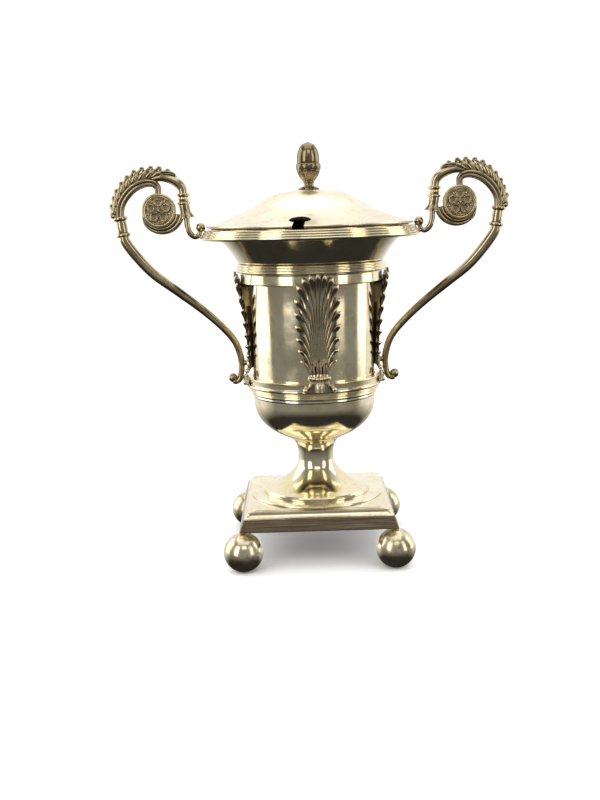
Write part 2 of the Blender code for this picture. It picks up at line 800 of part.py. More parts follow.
def build_lid(silver, dark):
    turning = group("lid_assembly", LID_TURN_DEG)
    notch = cutter("notch_cutter", notch_cutter_mesh(), LID_TURN_DEG)
    shell = place("lid_shell", turned_mesh("lid_shell", lid_outline()), silver, parent=turning)
    boolean(shell, notch, "DIFFERENCE")
    bezel = place("lid_bezel", turned_mesh("lid_bezel", bezel_outline()), silver, parent=turning)
    boolean(bezel, notch, "DIFFERENCE")

    bore = STUD_R + GAP
    base_low = LID_CROWN_Z + GAP
    base = [(bore, base_low), (KNOB_BASE_R, base_low), (KNOB_BASE_R - 0.5, base_low + 0.8), (2.3, 170.6)]
    base += [(2.6, CUP_Z - GAP), (bore, CUP_Z - GAP)]
    place("knob_base", turned_mesh("knob_base", base, SMALL_SEGMENTS), silver, parent=turning)

    cup_top = ACORN_Z - GAP
    bore_top = 177.0
    cup = [(0, bore_top), (bore, bore_top), (bore, CUP_Z), (2.9, CUP_Z)]
    cup += [(4.1, 174.7), (5.2, 177.0), (CUP_R, 178.9), (CUP_R - 0.2, cup_top), (0, cup_top)]
    place("acorn_cup", turned_mesh("acorn_cup", cup, SMALL_SEGMENTS), silver, parent=turning)

    nut = [(0, ACORN_Z), (ACORN_R - 0.3, ACORN_Z), (ACORN_R, 181.6), (5.05, 184.0), (4.3, 186.6)]
    nut += [(2.7, 189.0), (0.7, 189.7), (0, KNOB_TOP_Z)]
    place("acorn_nut", turned_mesh("acorn_nut", nut, SMALL_SEGMENTS), silver, parent=turning)

    nut_top = LID_CROWN_Z - LID_SHEET - GAP
    place("knob_nut", hex_nut_mesh("knob_nut", 5.0, bore, nut_top - 2.0, nut_top), dark, parent=turning)
    stud_low, stud_top = nut_top - 3.0, bore_top - GAP
    stud = [(0, stud_low), (STUD_R, stud_low), (STUD_R, stud_top), (0, stud_top)]
    place("knob_stud", turned_mesh("knob_stud", stud, 12), dark)


def main():
    clear_scene()
    silver = metal("warm_silver", (0.72, 0.66, 0.52), 0.18)
    dark = metal("tarnished_silver", (0.40, 0.36, 0.28), 0.35)
    build_foot(silver, dark)
    build_bowl(silver)
    build_palmettes(silver)
    build_handles(silver)
    build_lid(silver, dark)


main()
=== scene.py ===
"""The visual model of the two-handled silver sugar bowl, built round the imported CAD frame.

Lengths are in millimetres in the code and become metres in the meshes. +Z is up, the handles lie
along X and the front faces -Y.
"""

import math

import bmesh
import bpy
import numpy as np
from mathutils import Matrix, Vector


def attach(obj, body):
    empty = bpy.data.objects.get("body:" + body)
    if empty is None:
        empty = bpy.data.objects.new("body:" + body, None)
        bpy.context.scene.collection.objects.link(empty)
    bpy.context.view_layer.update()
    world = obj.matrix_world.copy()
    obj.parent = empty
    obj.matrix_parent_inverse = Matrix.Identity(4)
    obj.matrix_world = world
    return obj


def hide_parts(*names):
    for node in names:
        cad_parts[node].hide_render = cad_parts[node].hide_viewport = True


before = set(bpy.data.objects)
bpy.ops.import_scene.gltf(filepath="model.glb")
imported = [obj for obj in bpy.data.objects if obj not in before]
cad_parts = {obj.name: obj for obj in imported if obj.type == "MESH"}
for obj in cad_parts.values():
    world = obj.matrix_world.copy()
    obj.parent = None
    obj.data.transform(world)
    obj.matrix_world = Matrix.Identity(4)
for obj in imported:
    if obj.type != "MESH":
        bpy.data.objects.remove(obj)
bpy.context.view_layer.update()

MM = 0.001
TAU = 2 * math.pi
LID_TURN = math.radians(-7.0)
RING_STEPS = 160  # points round a large turned piece

# --- curves --------------------------------------------------------------------------------------


def spline(points, steps):
    """A Catmull-Rom curve through the points, as an array with this many steps between two of them."""
    p = np.asarray(points, float)
    p = np.vstack([2 * p[0] - p[1], p, 2 * p[-1] - p[-2]])
    curve = []
    for i in range(1, len(p) - 2):
        a, b, c, d = p[i - 1 : i + 3]
        for t in np.arange(steps) / steps:
            curve.append(
                0.5 * (2 * b + (c - a) * t + (2 * a - 5 * b + 4 * c - d) * t**2
                       + (3 * b - a - 3 * c + d) * t**3)
            )
    curve.append(p[-2])
    return np.array(curve)


def resampled(points, count):
    """The same polyline with count points, evenly spaced along it."""
    p = np.asarray(points, float)
    along = np.concatenate([[0], np.cumsum(np.linalg.norm(np.diff(p, axis=0), axis=1))])
    wanted = np.linspace(0, along[-1], count)
    return np.stack([np.interp(wanted, along, p[:, k]) for k in range(p.shape[1])], axis=1)


def smoothstep(low, high, x):
    t = np.clip((x - low) / (high - low), 0, 1)
    return t * t * (3 - 2 * t)


def filleted(points, radius, closed, turn_limit=14):
    """The polyline with its corners rounded, and support points beside each one so that flats shade flat."""
    p = [np.asarray(q, float) for q in points]
    n = len(p)
    out = []
    for i in range(n):
        if not closed and i in (0, n - 1):
            out.append(p[i])
            continue
        before, here, after = p[i - 1], p[i], p[(i + 1) % n]
        a, b = before - here, after - here
        la, lb = np.linalg.norm(a), np.linalg.norm(b)
        a, b = a / la, b / lb
        turn = math.degrees(math.acos(np.clip(-a @ b, -1, 1)))
        if turn < turn_limit:
            out.append(here)
            continue
        cut = min(radius * math.tan(math.radians(turn) / 2), 0.42 * la, 0.42 * lb)
        start, end = here + a * cut, here + b * cut
        if la > 6 * cut:
            out.append(here + a * min(1.8 * cut, 0.45 * la))
        for t in (0, 0.25, 0.5, 0.75, 1):
            out.append((1 - t) ** 2 * start + 2 * t * (1 - t) * here + t**2 * end)
        if lb > 6 * cut:
            out.append(here + b * min(1.8 * cut, 0.45 * lb))
    return np.array(out)


# --- meshes --------------------------------------------------------------------------------------


def joined(parts):
    """One (points, faces, recess) from many. recess is 1 in a hollow and 0 on a ridge; the cast finishes
    darken it as tarnish and painted shade.
    """
    points, faces, recess, base = [], [], [], 0
    for part in parts:
        points.append(part[0])
        faces += [tuple(v + base for v in f) for f in part[1]]
        recess.append(part[2] if len(part) > 2 else np.zeros(len(part[0])))
        base += len(part[0])
    return np.vstack(points), faces, np.concatenate(recess)


def skin(rings, loop, cap):
    """Faces over a (rows, columns, 3) array whose columns close on themselves."""
    rows, columns = rings.shape[:2]
    faces = []
    for i in range(rows if loop else rows - 1):
        j = (i + 1) % rows
        for k in range(columns):
            m = (k + 1) % columns
            faces.append((i * columns + k, i * columns + m, j * columns + m, j * columns + k))
    points = rings.reshape(-1, 3)
    if cap:
        for row, flip in ((0, True), (rows - 1, False)):
            middle = len(points)
            points = np.vstack([points, rings[row].mean(0)])
            for k in range(columns):
                tri = (row * columns + k, row * columns + (k + 1) % columns, middle)
                faces.append(tri[::-1] if flip else tri)
    return points, faces


def make_mesh(name, shape, sharp=40):
    """A mesh of (points in mm, faces, recess), its normals out and its gentle turns shaded smooth."""
    points, faces = shape[0], shape[1]
    mesh = bpy.data.meshes.new(name)
    mesh.from_pydata((np.asarray(points) * MM).tolist(), [], faces)
    if len(shape) > 2:
        layer = mesh.attributes.new("recess", "FLOAT", "POINT")
        layer.data.foreach_set("value", np.asarray(shape[2], np.float32))
    bm = bmesh.new()
    bm.from_mesh(mesh)
    bmesh.ops.remove_doubles(bm, verts=bm.verts, dist=2e-6)
    bmesh.ops.recalc_face_normals(bm, faces=bm.faces)
    bm.to_mesh(mesh)
    bm.free()
    mesh.shade_smooth()
    mesh.set_sharp_from_angle(angle=math.radians(sharp))
    return mesh


def lathe(profile, steps=RING_STEPS, swell=None):
    """A closed (r, z) profile turned round Z. swell(angle, z, r) scales the radius."""
    p = np.asarray(profile, float)
    turns = np.arange(steps) / steps * TAU
    r = p[:, 0][:, None] * np.ones(steps)
    if swell is not None:
        r = r * swell(turns[None, :], p[:, 1][:, None], p[:, 0][:, None])
    rings = np.stack([r * np.cos(turns), r * np.sin(turns), p[:, 1][:, None] * np.ones(steps)], axis=2)
    return skin(rings, loop=True, cap=False)


def frames(path):
    """Unit tangents and in-plane normals of a path in the XZ plane."""
    p = np.asarray(path, float)
    along = np.gradient(p, axis=0)
    along /= np.linalg.norm(along, axis=1)[:, None]
    normal = np.stack([along[:, 1], -along[:, 0]], axis=1)
    return along, normal


def sweep(path, section, cap=True):
    """section(share) gives (in-plane offset, depth) points; the path lies in the XZ plane."""
    p = np.asarray(path, float)
    _, normal = frames(p)
    shares = np.linspace(0, 1, len(p))
    rings, recess = [], []
    for point, across, share in zip(p, normal, shares):
        offsets = np.asarray(section(share))
        flat = point + offsets[:, :1] * across
        rings.append(np.stack([flat[:, 0], offsets[:, 1], flat[:, 1]], axis=1))
        recess.append(offsets[:, 2] if offsets.shape[1] > 2 else np.zeros(len(offsets)))
    points, faces = skin(np.array(rings), loop=False, cap=cap)
    recess = np.concatenate(recess)
    return points, faces, np.concatenate([recess, np.zeros(len(points) - len(recess))])


def round_section(radius_of, depth=1.0, sides=20):
    """A section for sweep: a circle whose radius follows the share along the path."""
    a = np.arange(sides) / sides * TAU

    def section(share):
        r = radius_of(share)
        return np.stack([r * np.cos(a), r * depth * np.sin(a)], axis=1)

    return section


def ribbed_section(width_of, depth_of, ribs, groove=0.22, points=14):
    """A flat strap's section whose two faces carry ribs along its length."""

    def section(share):
        w, d = width_of(share), depth_of(share)
        x = np.linspace(-1, 1, points * 2 + 1)
        edge = np.sqrt(np.clip(1 - np.abs(x) ** 5, 0, 1))
        wave = np.abs(np.sin((x + 1) / 2 * ribs * math.pi)) ** 0.7
        y = d * edge * (1 - groove * (1 - wave))
        # The grooves are marked for darkening: tarnish and painted shade.
        sunk = (1 - wave) * 0.9
        top = np.stack([x * w, y, sunk], axis=1)
        low = np.stack([x[::-1][1:-1] * w, -y[::-1][1:-1], sunk[::-1][1:-1]], axis=1)
        return np.vstack([top, low])

    return section


def ball(centre, radii, rows=14, columns=20):
    """An ellipsoid about an axis along Z."""
    a = np.linspace(0, math.pi, rows)[1:-1]
    b = np.arange(columns) / columns * TAU
    rings = np.stack(
        [np.outer(np.sin(a), np.cos(b)), np.outer(np.sin(a), np.sin(b)),
         np.outer(np.cos(a), np.ones(columns))], axis=2
    )
    points, faces = skin(rings * np.asarray(radii) + np.asarray(centre), loop=False, cap=True)
    top, low = len(points) - 2, len(points) - 1
    points[top] = np.asarray(centre) + (0, 0, radii[2])
    points[low] = np.asarray(centre) - (0, 0, radii[2])
    return points, faces, np.zeros(len(points))


def interp_of(values):
    """A function from a share of 0 to 1 to a number, straight between these evenly spaced values."""
    places = np.linspace(0, 1, len(values))
    return lambda share: float(np.interp(share, places, values))


# --- materials -----------------------------------------------------------------------------------


def nodes_of(material):
    tree = material.node_tree
    return tree, tree.nodes["Principled BSDF"]


def link(tree, a, b):
    tree.links.new(a, b)


def noise(tree, vector, scale, detail=4.0, rough=0.55, distort=0.0):
    made = tree.nodes.new("ShaderNodeTexNoise")
    made.inputs["Scale"].default_value = scale
    made.inputs["Detail"].default_value = detail
    made.inputs["Roughness"].default_value = rough
    made.inputs["Distortion"].default_value = distort
    link(tree, vector, made.inputs["Vector"])
    return made.outputs["Fac"]


def ramp(tree, value, stops, interpolation="LINEAR"):
    made = tree.nodes.new("ShaderNodeValToRGB")
    made.color_ramp.interpolation = interpolation
    elements = made.color_ramp.elements
    while len(elements) > 1:
        elements.remove(elements[-1])
    for i, (place, colour) in enumerate(stops):
        if isinstance(colour, (int, float)):
            colour = (colour, colour, colour)
        element = elements[0] if i == 0 else elements.new(place)
        element.position = place
        element.color = (*colour, 1)
    link(tree, value, made.inputs["Fac"])
    return made.outputs["Color"]


def mixed(tree, factor, a, b, blend="MIX"):
    made = tree.nodes.new("ShaderNodeMix")
    made.data_type = "RGBA"
    made.blend_type = blend
    for socket, value in ((made.inputs[0], factor), (made.inputs[6], a), (made.inputs[7], b)):
        if isinstance(value, (int, float)):
            socket.default_value = value
        elif isinstance(value, tuple):
            socket.default_value = (*value, 1)
        else:
            link(tree, value, socket)
    return made.outputs[2]


def calc(tree, operation, a, b=None, c=None):
    made = tree.nodes.new("ShaderNodeMath")
    made.operation = operation
    for socket, value in zip(made.inputs, (a, b, c)):
        if value is None:
            continue
        if isinstance(value, (int, float)):
            socket.default_value = value
        else:
            link(tree, value, socket)
    return made.outputs[0]


def stretched(tree, vector, scale):
    made = tree.nodes.new("ShaderNodeMapping")
    made.inputs["Scale"].default_value = scale
    link(tree, vector, made.inputs["Vector"])
    return made.outputs["Vector"]


def turned_vector(tree, vector):
    """(radius, height, a little of the angle): noise on it runs round the axis as spinning marks do."""
    parts = tree.nodes.new("ShaderNodeSeparateXYZ")
    link(tree, vector, parts.inputs[0])
    x, y, z = parts.outputs
    radius = calc(tree, "SQRT",
                  calc(tree, "ADD", calc(tree, "MULTIPLY", x, x), calc(tree, "MULTIPLY", y, y)))
    made = tree.nodes.new("ShaderNodeCombineXYZ")
    link(tree, radius, made.inputs[0])
    link(tree, z, made.inputs[1])
    link(tree, calc(tree, "MULTIPLY", calc(tree, "ARCTAN2", y, x), 0.0006), made.inputs[2])
    return made.outputs[0]


def silver(
    name, bright, dull, oxide_and_shade, gloss, worn=0.0, recess=0.0, spun=0.0, dents=0.35, streak=None,
    patch=1.0, spots=0.35
):
    """Old silver: bright and dull areas, brown tarnish and painted shade in hollows, dark streaks of painted
    reflection where asked, hairline scratches and shallow dents.
    """
    made = bpy.data.materials.new(name)
    made.use_nodes = True
    tree, shader = nodes_of(made)
    shader.inputs["Metallic"].default_value = 1.0
    where = tree.nodes.new("ShaderNodeTexCoord").outputs["Object"]

    cloud = noise(tree, where, 60 * patch, 5, 0.6, 0.4)
    fine = noise(tree, where, 420, 4, 0.65)
    colour = mixed(tree, ramp(tree, cloud, [(0.38, 0.0), (0.66, 1.0)]), bright, dull)
    speckle = ramp(tree, fine, [(0.56, 0.0), (0.78, spots)])
    colour = mixed(tree, speckle, colour, oxide_and_shade)
    # Dark streaks on the faces the recess attribute marks, on the plinth's sides: painted reflection.
    if streak:
        lines = noise(tree, stretched(tree, where, (30, 30, 2600)), 1.0, 5, 0.7)
        where_dark = tree.nodes.new("ShaderNodeAttribute")
        where_dark.attribute_name = "recess"
        dark = calc(tree, "MULTIPLY", where_dark.outputs["Fac"],
                    ramp(tree, lines, [(0.3, 0.35), (0.6, 1.0)]))
        colour = mixed(tree, dark, colour, streak)
    # Hollows marked in the recess attribute darken towards the oxide colour, partly tarnish and partly
    # painted shade; what the ambient occlusion node finds shut in is darkened as painted shade.
    if recess:
        hollow = tree.nodes.new("ShaderNodeAttribute")
        hollow.attribute_name = "recess"
        shade = tree.nodes.new("ShaderNodeAmbientOcclusion")
        shade.samples = 6
        shade.only_local = True
        shade.inputs["Distance"].default_value = 0.0007
        buried = ramp(tree, shade.outputs["AO"], [(0.12, 1.0), (0.6, 0.0)])
        sunk = calc(tree, "MAXIMUM", hollow.outputs["Fac"], buried)
        uneven = calc(tree, "MULTIPLY_ADD", fine, 0.7, 0.62)
        sunk = calc(tree, "MULTIPLY", calc(tree, "MULTIPLY", sunk, uneven), recess)
        sunk = calc(tree, "MINIMUM", sunk, 1.0)
        colour = mixed(tree, sunk, colour, oxide_and_shade)
    link(tree, colour, shader.inputs["Base Color"])

    haze = noise(tree, where, 110, 3, 0.6)
    rough = ramp(tree, haze, [(0.3, gloss), (0.75, gloss + 0.13)])
    if recess:
        rough = mixed(tree, sunk, rough, (0.42, 0.42, 0.42))
    link(tree, rough, shader.inputs["Roughness"])

    scratch_a = noise(tree, stretched(tree, where, (2600, 180, 420)), 1.0, 3, 0.6, 0.3)
    scratch_b = noise(tree, stretched(tree, where, (160, 900, 2400)), 1.0, 3, 0.6, 0.3)
    height = calc(tree, "ADD", calc(tree, "MULTIPLY", scratch_a, 0.12),
                  calc(tree, "MULTIPLY", scratch_b, 0.12))
    if spun:
        rings = noise(tree, stretched(tree, turned_vector(tree, where), (1600, 1600, 1600)), 1.0, 4, 0.7)
        height = calc(tree, "MULTIPLY_ADD", rings, spun, height)
    if worn:
        height = calc(tree, "MULTIPLY_ADD", fine, worn, height)
    small = tree.nodes.new("ShaderNodeBump")
    small.inputs["Strength"].default_value = 0.5
    small.inputs["Distance"].default_value = 0.00002
    link(tree, height, small.inputs["Height"])
    broad = tree.nodes.new("ShaderNodeBump")
    broad.inputs["Strength"].default_value = dents
    broad.inputs["Distance"].default_value = 0.0005
    link(tree, noise(tree, where, 75, 2, 0.5), broad.inputs["Height"])
    link(tree, small.outputs["Normal"], broad.inputs["Normal"])
    link(tree, broad.outputs["Normal"], shader.inputs["Normal"])
    return made


RAISED = silver("raised_silver", (0.96, 0.87, 0.62), (0.85, 0.73, 0.46), (0.30, 0.20, 0.09), 0.07,
                spun=0.3, dents=0.08)
LID = silver("lid_silver", (0.98, 0.91, 0.72), (0.90, 0.80, 0.58), (0.52, 0.40, 0.26), 0.24, worn=0.6,
             spun=0.5, dents=0.12,
             patch=1.3, spots=0.6)
# The plinth's streak colour is a painted reflection on its sides.
PLINTH = silver("plinth_silver", (0.98, 0.90, 0.68), (0.88, 0.77, 0.53), (0.36, 0.26, 0.15), 0.17,
                worn=0.3, dents=0.10,
                spots=0.5, streak=(0.20, 0.12, 0.06))
BALL = silver("ball_silver", (0.92, 0.83, 0.60), (0.62, 0.51, 0.30), (0.18, 0.12, 0.06), 0.17, worn=1.0,
              dents=0.2,
              patch=2.4, spots=0.9)
CAST = silver("cast_silver", (0.95, 0.84, 0.59), (0.76, 0.63, 0.40), (0.08, 0.05, 0.025), 0.12,
              worn=0.3, recess=0.85,
              dents=0.20, spots=0.3)
# The handles and the knob use darker copies of the cast silver of the palmettes and medallion: painted shade.
HANDLE = silver("handle_silver", (0.66, 0.55, 0.34), (0.38, 0.285, 0.15), (0.04, 0.026, 0.013), 0.11,
                worn=0.3, recess=1.0,
                dents=0.18, spots=0.4)
KNOB = silver("knob_silver", (0.33, 0.26, 0.15), (0.19, 0.14, 0.07), (0.04, 0.026, 0.014), 0.13,
              worn=0.3, recess=0.9,
              dents=0.10, spots=0.4)
HIDDEN = silver("fixing_silver", (0.55, 0.48, 0.36), (0.38, 0.31, 0.22), (0.12, 0.08, 0.05), 0.32,
                worn=0.8, dents=0.15)
# Near-black painted shade for the faces the keyhole cut opens in the lid, so the notch reads as a dark hole.
CUT_EDGE_SHADE = silver("cut_edge_painted_shade", (0.05, 0.04, 0.03), (0.03, 0.025, 0.02), (0.01, 0.008, 0.006),
                   0.5, dents=0.1)


# --- pieces --------------------------------------------------------------------------------------


def piece(name, mesh, material, node, body, turn=0.0, at=(0, 0, 0)):
    """An object that stands for a CAD node, rides on its body and takes its slot's finish."""
    if not mesh.materials:
        mesh.materials.append(material)
    if turn == LID_TURN:
        mesh.transform(Matrix.Rotation(turn, 4, "Z"))
        turn = 0.0
    obj = bpy.data.objects.new(name, mesh)
    obj.location = Vector(at) * MM
    obj.rotation_euler.z = turn
    bpy.context.scene.collection.objects.link(obj)
    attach(obj, body)
    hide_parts(node)
    return obj


def turned(name, profile, material, body="vase", steps=RING_STEPS, swell=None):
    return piece("silver_" + name, make_mesh(name, lathe(profile, steps, swell)), material, name, body)


# feet

FOOT_SPREAD = 34.4
a = np.radians(np.linspace(-75.86, 84, 46))
foot_side = np.stack([9 * np.cos(a), 8.727 + 9 * np.sin(a)], axis=1)
foot_profile = np.vstack([[(0.02, 0)], [(1.6, 0)], foot_side, [(0.5, foot_side[-1, 1])],
                          [(0.02, foot_side[-1, 1])]])
foot_mesh = make_mesh("ball_foot", lathe(foot_profile, 72))
for end, sy in (("front", -1), ("back", 1)):
    for hand, sx in (("left", -1), ("right", 1)):
        node = f"ball_foot_{end}_{hand}"
        piece("silver_" + node, foot_mesh, BALL, node, "vase", 0.9 * sx + 1.7 * (sy > 0),
              (sx * FOOT_SPREAD, sy * FOOT_SPREAD, 0))


# plinth: square rings with rounded corners


def square_ring(half, corner, z, per_corner=9, per_side=11):
    """A square ring with round corners and points along its sides, counted from the middle of +X."""
    points = []
    for quarter in range(4):
        c, s = round(math.cos(quarter * math.pi / 2)), round(math.sin(quarter * math.pi / 2))
        side = [(half, y) for y in np.linspace(0, half - corner, per_side)[:-1]]
        bend = [
            (half - corner + corner * math.cos(t), half - corner + corner * math.sin(t))
            for t in np.linspace(0, math.pi / 2, per_corner)
        ]
        rest = [(x, half) for x in np.linspace(half - corner, 0, per_side)[1:-1]]
        for x, y in side + bend + rest:
            points.append((c * x - s * y, s * x + c * y, z))
    return np.array(points)


def plinth_shape():
    outline = filleted(
        [
            (36.0, 18.0),
            (36.0, 18.5),
            (34.4, 23.6),
            (33.7, 23.9),
            (33.1, 24.4),
            (32.6, 25.2),
            (32.4, 26.0),
            (32.4, 26.35),
            (31.6, 26.75),
            (30.9, 26.82),
            (30.6, 27.0),
            (29.0, 27.0),
            (3.0, 27.0),
            (3.0, 25.8),
            (30.4, 25.8),
            (33.1, 22.8),
            (34.8, 18.0),
        ],
        0.16,
        closed=True,
    )
    rings, painted_reflection = [], []
    for half, z in outline:
        outer = z > 18 and half > 3.5 and not (z < 25.9 and half < 30.5)
        corner = float(np.interp(half, [3, 20, 30.8, 32.4, 33.5, 36.0],
                                 [2.9, 12.0, 2.6, 1.3, 0.9, 0.5])) if outer else 0.5
        ring = square_ring(half, min(corner, half - 0.05), z)
        rings.append(ring)
        # Marks for dark streaks on the plinth's sides, full below 23.8 mm and faint up to 26.2 mm: painted
        # reflection.
        painted_reflection.append(np.full(len(ring),
                               1.0 if outer and z < 23.8 else 0.15 if outer and z < 26.2 else 0.0))
    points, faces = skin(np.array(rings), loop=True, cap=False)
    return points, faces, np.concatenate(painted_reflection)


piece("silver_plinth", make_mesh("plinth", plinth_shape()), PLINTH, "plinth", "vase")

# step and pedestal

turned("step_ring",
       filleted([(22.3, 27.1), (31.4, 27.1), (31.2, 27.7), (30.3, 28.35), (22.3, 28.4)], 0.3, True), PLINTH)

flank = spline(
    [(24.3, 30.3), (20, 31.4), (15.2, 34), (11.2, 37.8), (8.8, 41.4), (8.4, 45.4), (8.9, 49.6),
     (10.4, 52.4), (12.4, 53.9)], 8
)
pedestal = filleted([(25.5, 28.45), (25.4, 29.6), (24.9, 30.2), *flank[1:], (8.0, 52.5), (2.1, 51.8),
                     (2.1, 50.2),
                     (7.2, 48.4), (7.2, 41.4), (13.0, 34.2), (20.0, 30.2), (23.1, 28.7)], 0.15, True)
turned("pedestal", pedestal, RAISED)

# bowl

a = np.radians(np.linspace(-90, 0, 60))
bowl = [(28.4 * math.cos(t), 71.5 + 19 * math.sin(t)) for t in a]
bowl[0] = (0.02, bowl[0][1])
inner = [(27.2 * math.cos(t), 71.5 + 17.8 * math.sin(t)) for t in a[::-1][::2]]
inner[-1] = (0.02, inner[-1][1])
turned("bowl_bottom", [*bowl, (28.4, 75.7), (27.2, 75.7), *inner], RAISED)

band = filleted(
    [(28.7, 84.2), (31.0, 84.2), (31.3, 83.9), (31.3, 83.6), (30.8, 83.3), (30.7, 81.3), (31.0, 81.0)]
    + [(31.35 + 0.55 * math.cos(t), 80.35 + 0.75 * math.sin(t)) for t in np.radians([80, 45, 0, -45, -80])]
    + [(30.5, 79.3), (30.1, 79.0), (30.1, 78.7), (30.5, 78.5), (30.6, 78.2), (30.2, 77.9), (29.7, 77.6)]
    + [(29.35 + 0.5 * math.cos(t), 76.8 + 0.6 * math.sin(t)) for t in np.radians([70, 35, 0, -35, -70])]
    + [(29.2, 76.0), (29.3, 75.2), (29.0, 74.6), (28.7, 74.6)],
    0.14,
    True,
)
turned("lower_band", band, RAISED)

flare = spline([(33.5, 136.75), (34.0, 137.5), (35.5, 139.9), (37.8, 143.2), (41.8, 147.6),
                (45.3, 150.6), (46.7, 152.0)], 8)
inside = spline([(45.7, 152.0), (44.4, 151.2), (40.8, 148.1), (36.6, 143.6), (34.3, 140.3),
                 (32.6, 137.8), (30.6, 135.6), (30.0, 133.5)], 6)
wall = filleted(
    [(28.4, 76.0), (28.45, 80.0), (28.5, 84.0), (28.5, 88.0), (28.8, 97.0), (29.1, 107.0),
     (29.45, 117.0), (29.8, 127.0),
     (29.85, 127.35), (32.5, 127.5), (32.8, 127.8), (32.8, 128.3), (32.62, 128.5), (32.62, 131.7),
     (32.4, 132.2),
     (31.4, 132.2), (31.4, 136.7), (32.6, 136.7)] + flare.tolist() + inside.tolist() + [(28.6, 127.3),
             (27.3, 88.0), (27.2, 76.0)],
    0.14,
    True,
)
turned("body_wall", wall, RAISED)

reeds = [(31.7, 132.5)]
for k in range(3):
    low = 132.5 + k * 1.3333
    reeds += [(33.75 + 0.75 * math.sin(t),
               low + 0.667 - 0.64 * math.cos(t)) for t in np.radians(np.linspace(25, 155, 9))]
turned("upper_moulding", [*reeds, (31.7, 136.5)], RAISED)

rim = [(46.95, 151.1), (46.95, 151.85), (47.1, 152.0), (47.5, 152.0)]
for k in range(4):
    r, z = 48.0 + 0.66 * k, 151.55 - 1.0 * k
    rim += [(r + 0.42 * math.cos(t), z + 0.48 * math.sin(t)) for t in np.radians(np.linspace(88, -48, 7))]
rim += [(50.2, 148.0), (49.8, 147.6), (43.0, 147.7), (44.9, 149.6)]
turned("rim_wire", filleted(rim, 0.12, True, 40), RAISED)

# --- palmettes -----------------------------------------------------------------------------------

SIDE_TIPS = [(9.1, 128.0), (10.1, 122.0), (10.3, 116.2), (10.1, 110.4), (9.7, 104.8), (9.1, 99.4),
             (8.2, 94.6)]
TOP_TIPS = [(0.0, 132.9), (3.3, 132.5), (6.6, 131.2)]
TIPS = TOP_TIPS + SIDE_TIPS  # from the middle outwards
STEM_V = 86.5
LEAF_BEND_R = 45.0  # the leaf is bent much less than the wall behind it


def plate_r(v):
    """The radius of the palmette's back at a height: over the band at its foot, then up the wall and out."""
    v = np.asarray(v, float)
    lean = np.clip((v - 88) / 44, 0, None)
    upper = 29.3 + 5 * lean**2
    return np.where(v <= 84.6, 31.6, np.where(v <= 88, 31.6 + (29.3 - 31.6) * (v - 84.6) / 3.4, upper))


def wrapped(u, v, d):
    """A point across, up and out on the palmette's curved back, for the one that faces -Y."""
    a = u / LEAF_BEND_R
    out = plate_r(v) + d - LEAF_BEND_R * (1 - np.cos(a))
    return np.stack([LEAF_BEND_R * np.sin(a), -out, v], axis=-1)


def petal_x(k, v):
    """Where petal k's middle line is at a height."""
    tip_u, tip_v = TIPS[k]
    start = 0.40 * k
    share = np.clip((v - STEM_V) / (tip_v - STEM_V), 0, 1)
    return start + (tip_u - start) * (0.32 * share**1.2 + 0.68 * share**4.5)


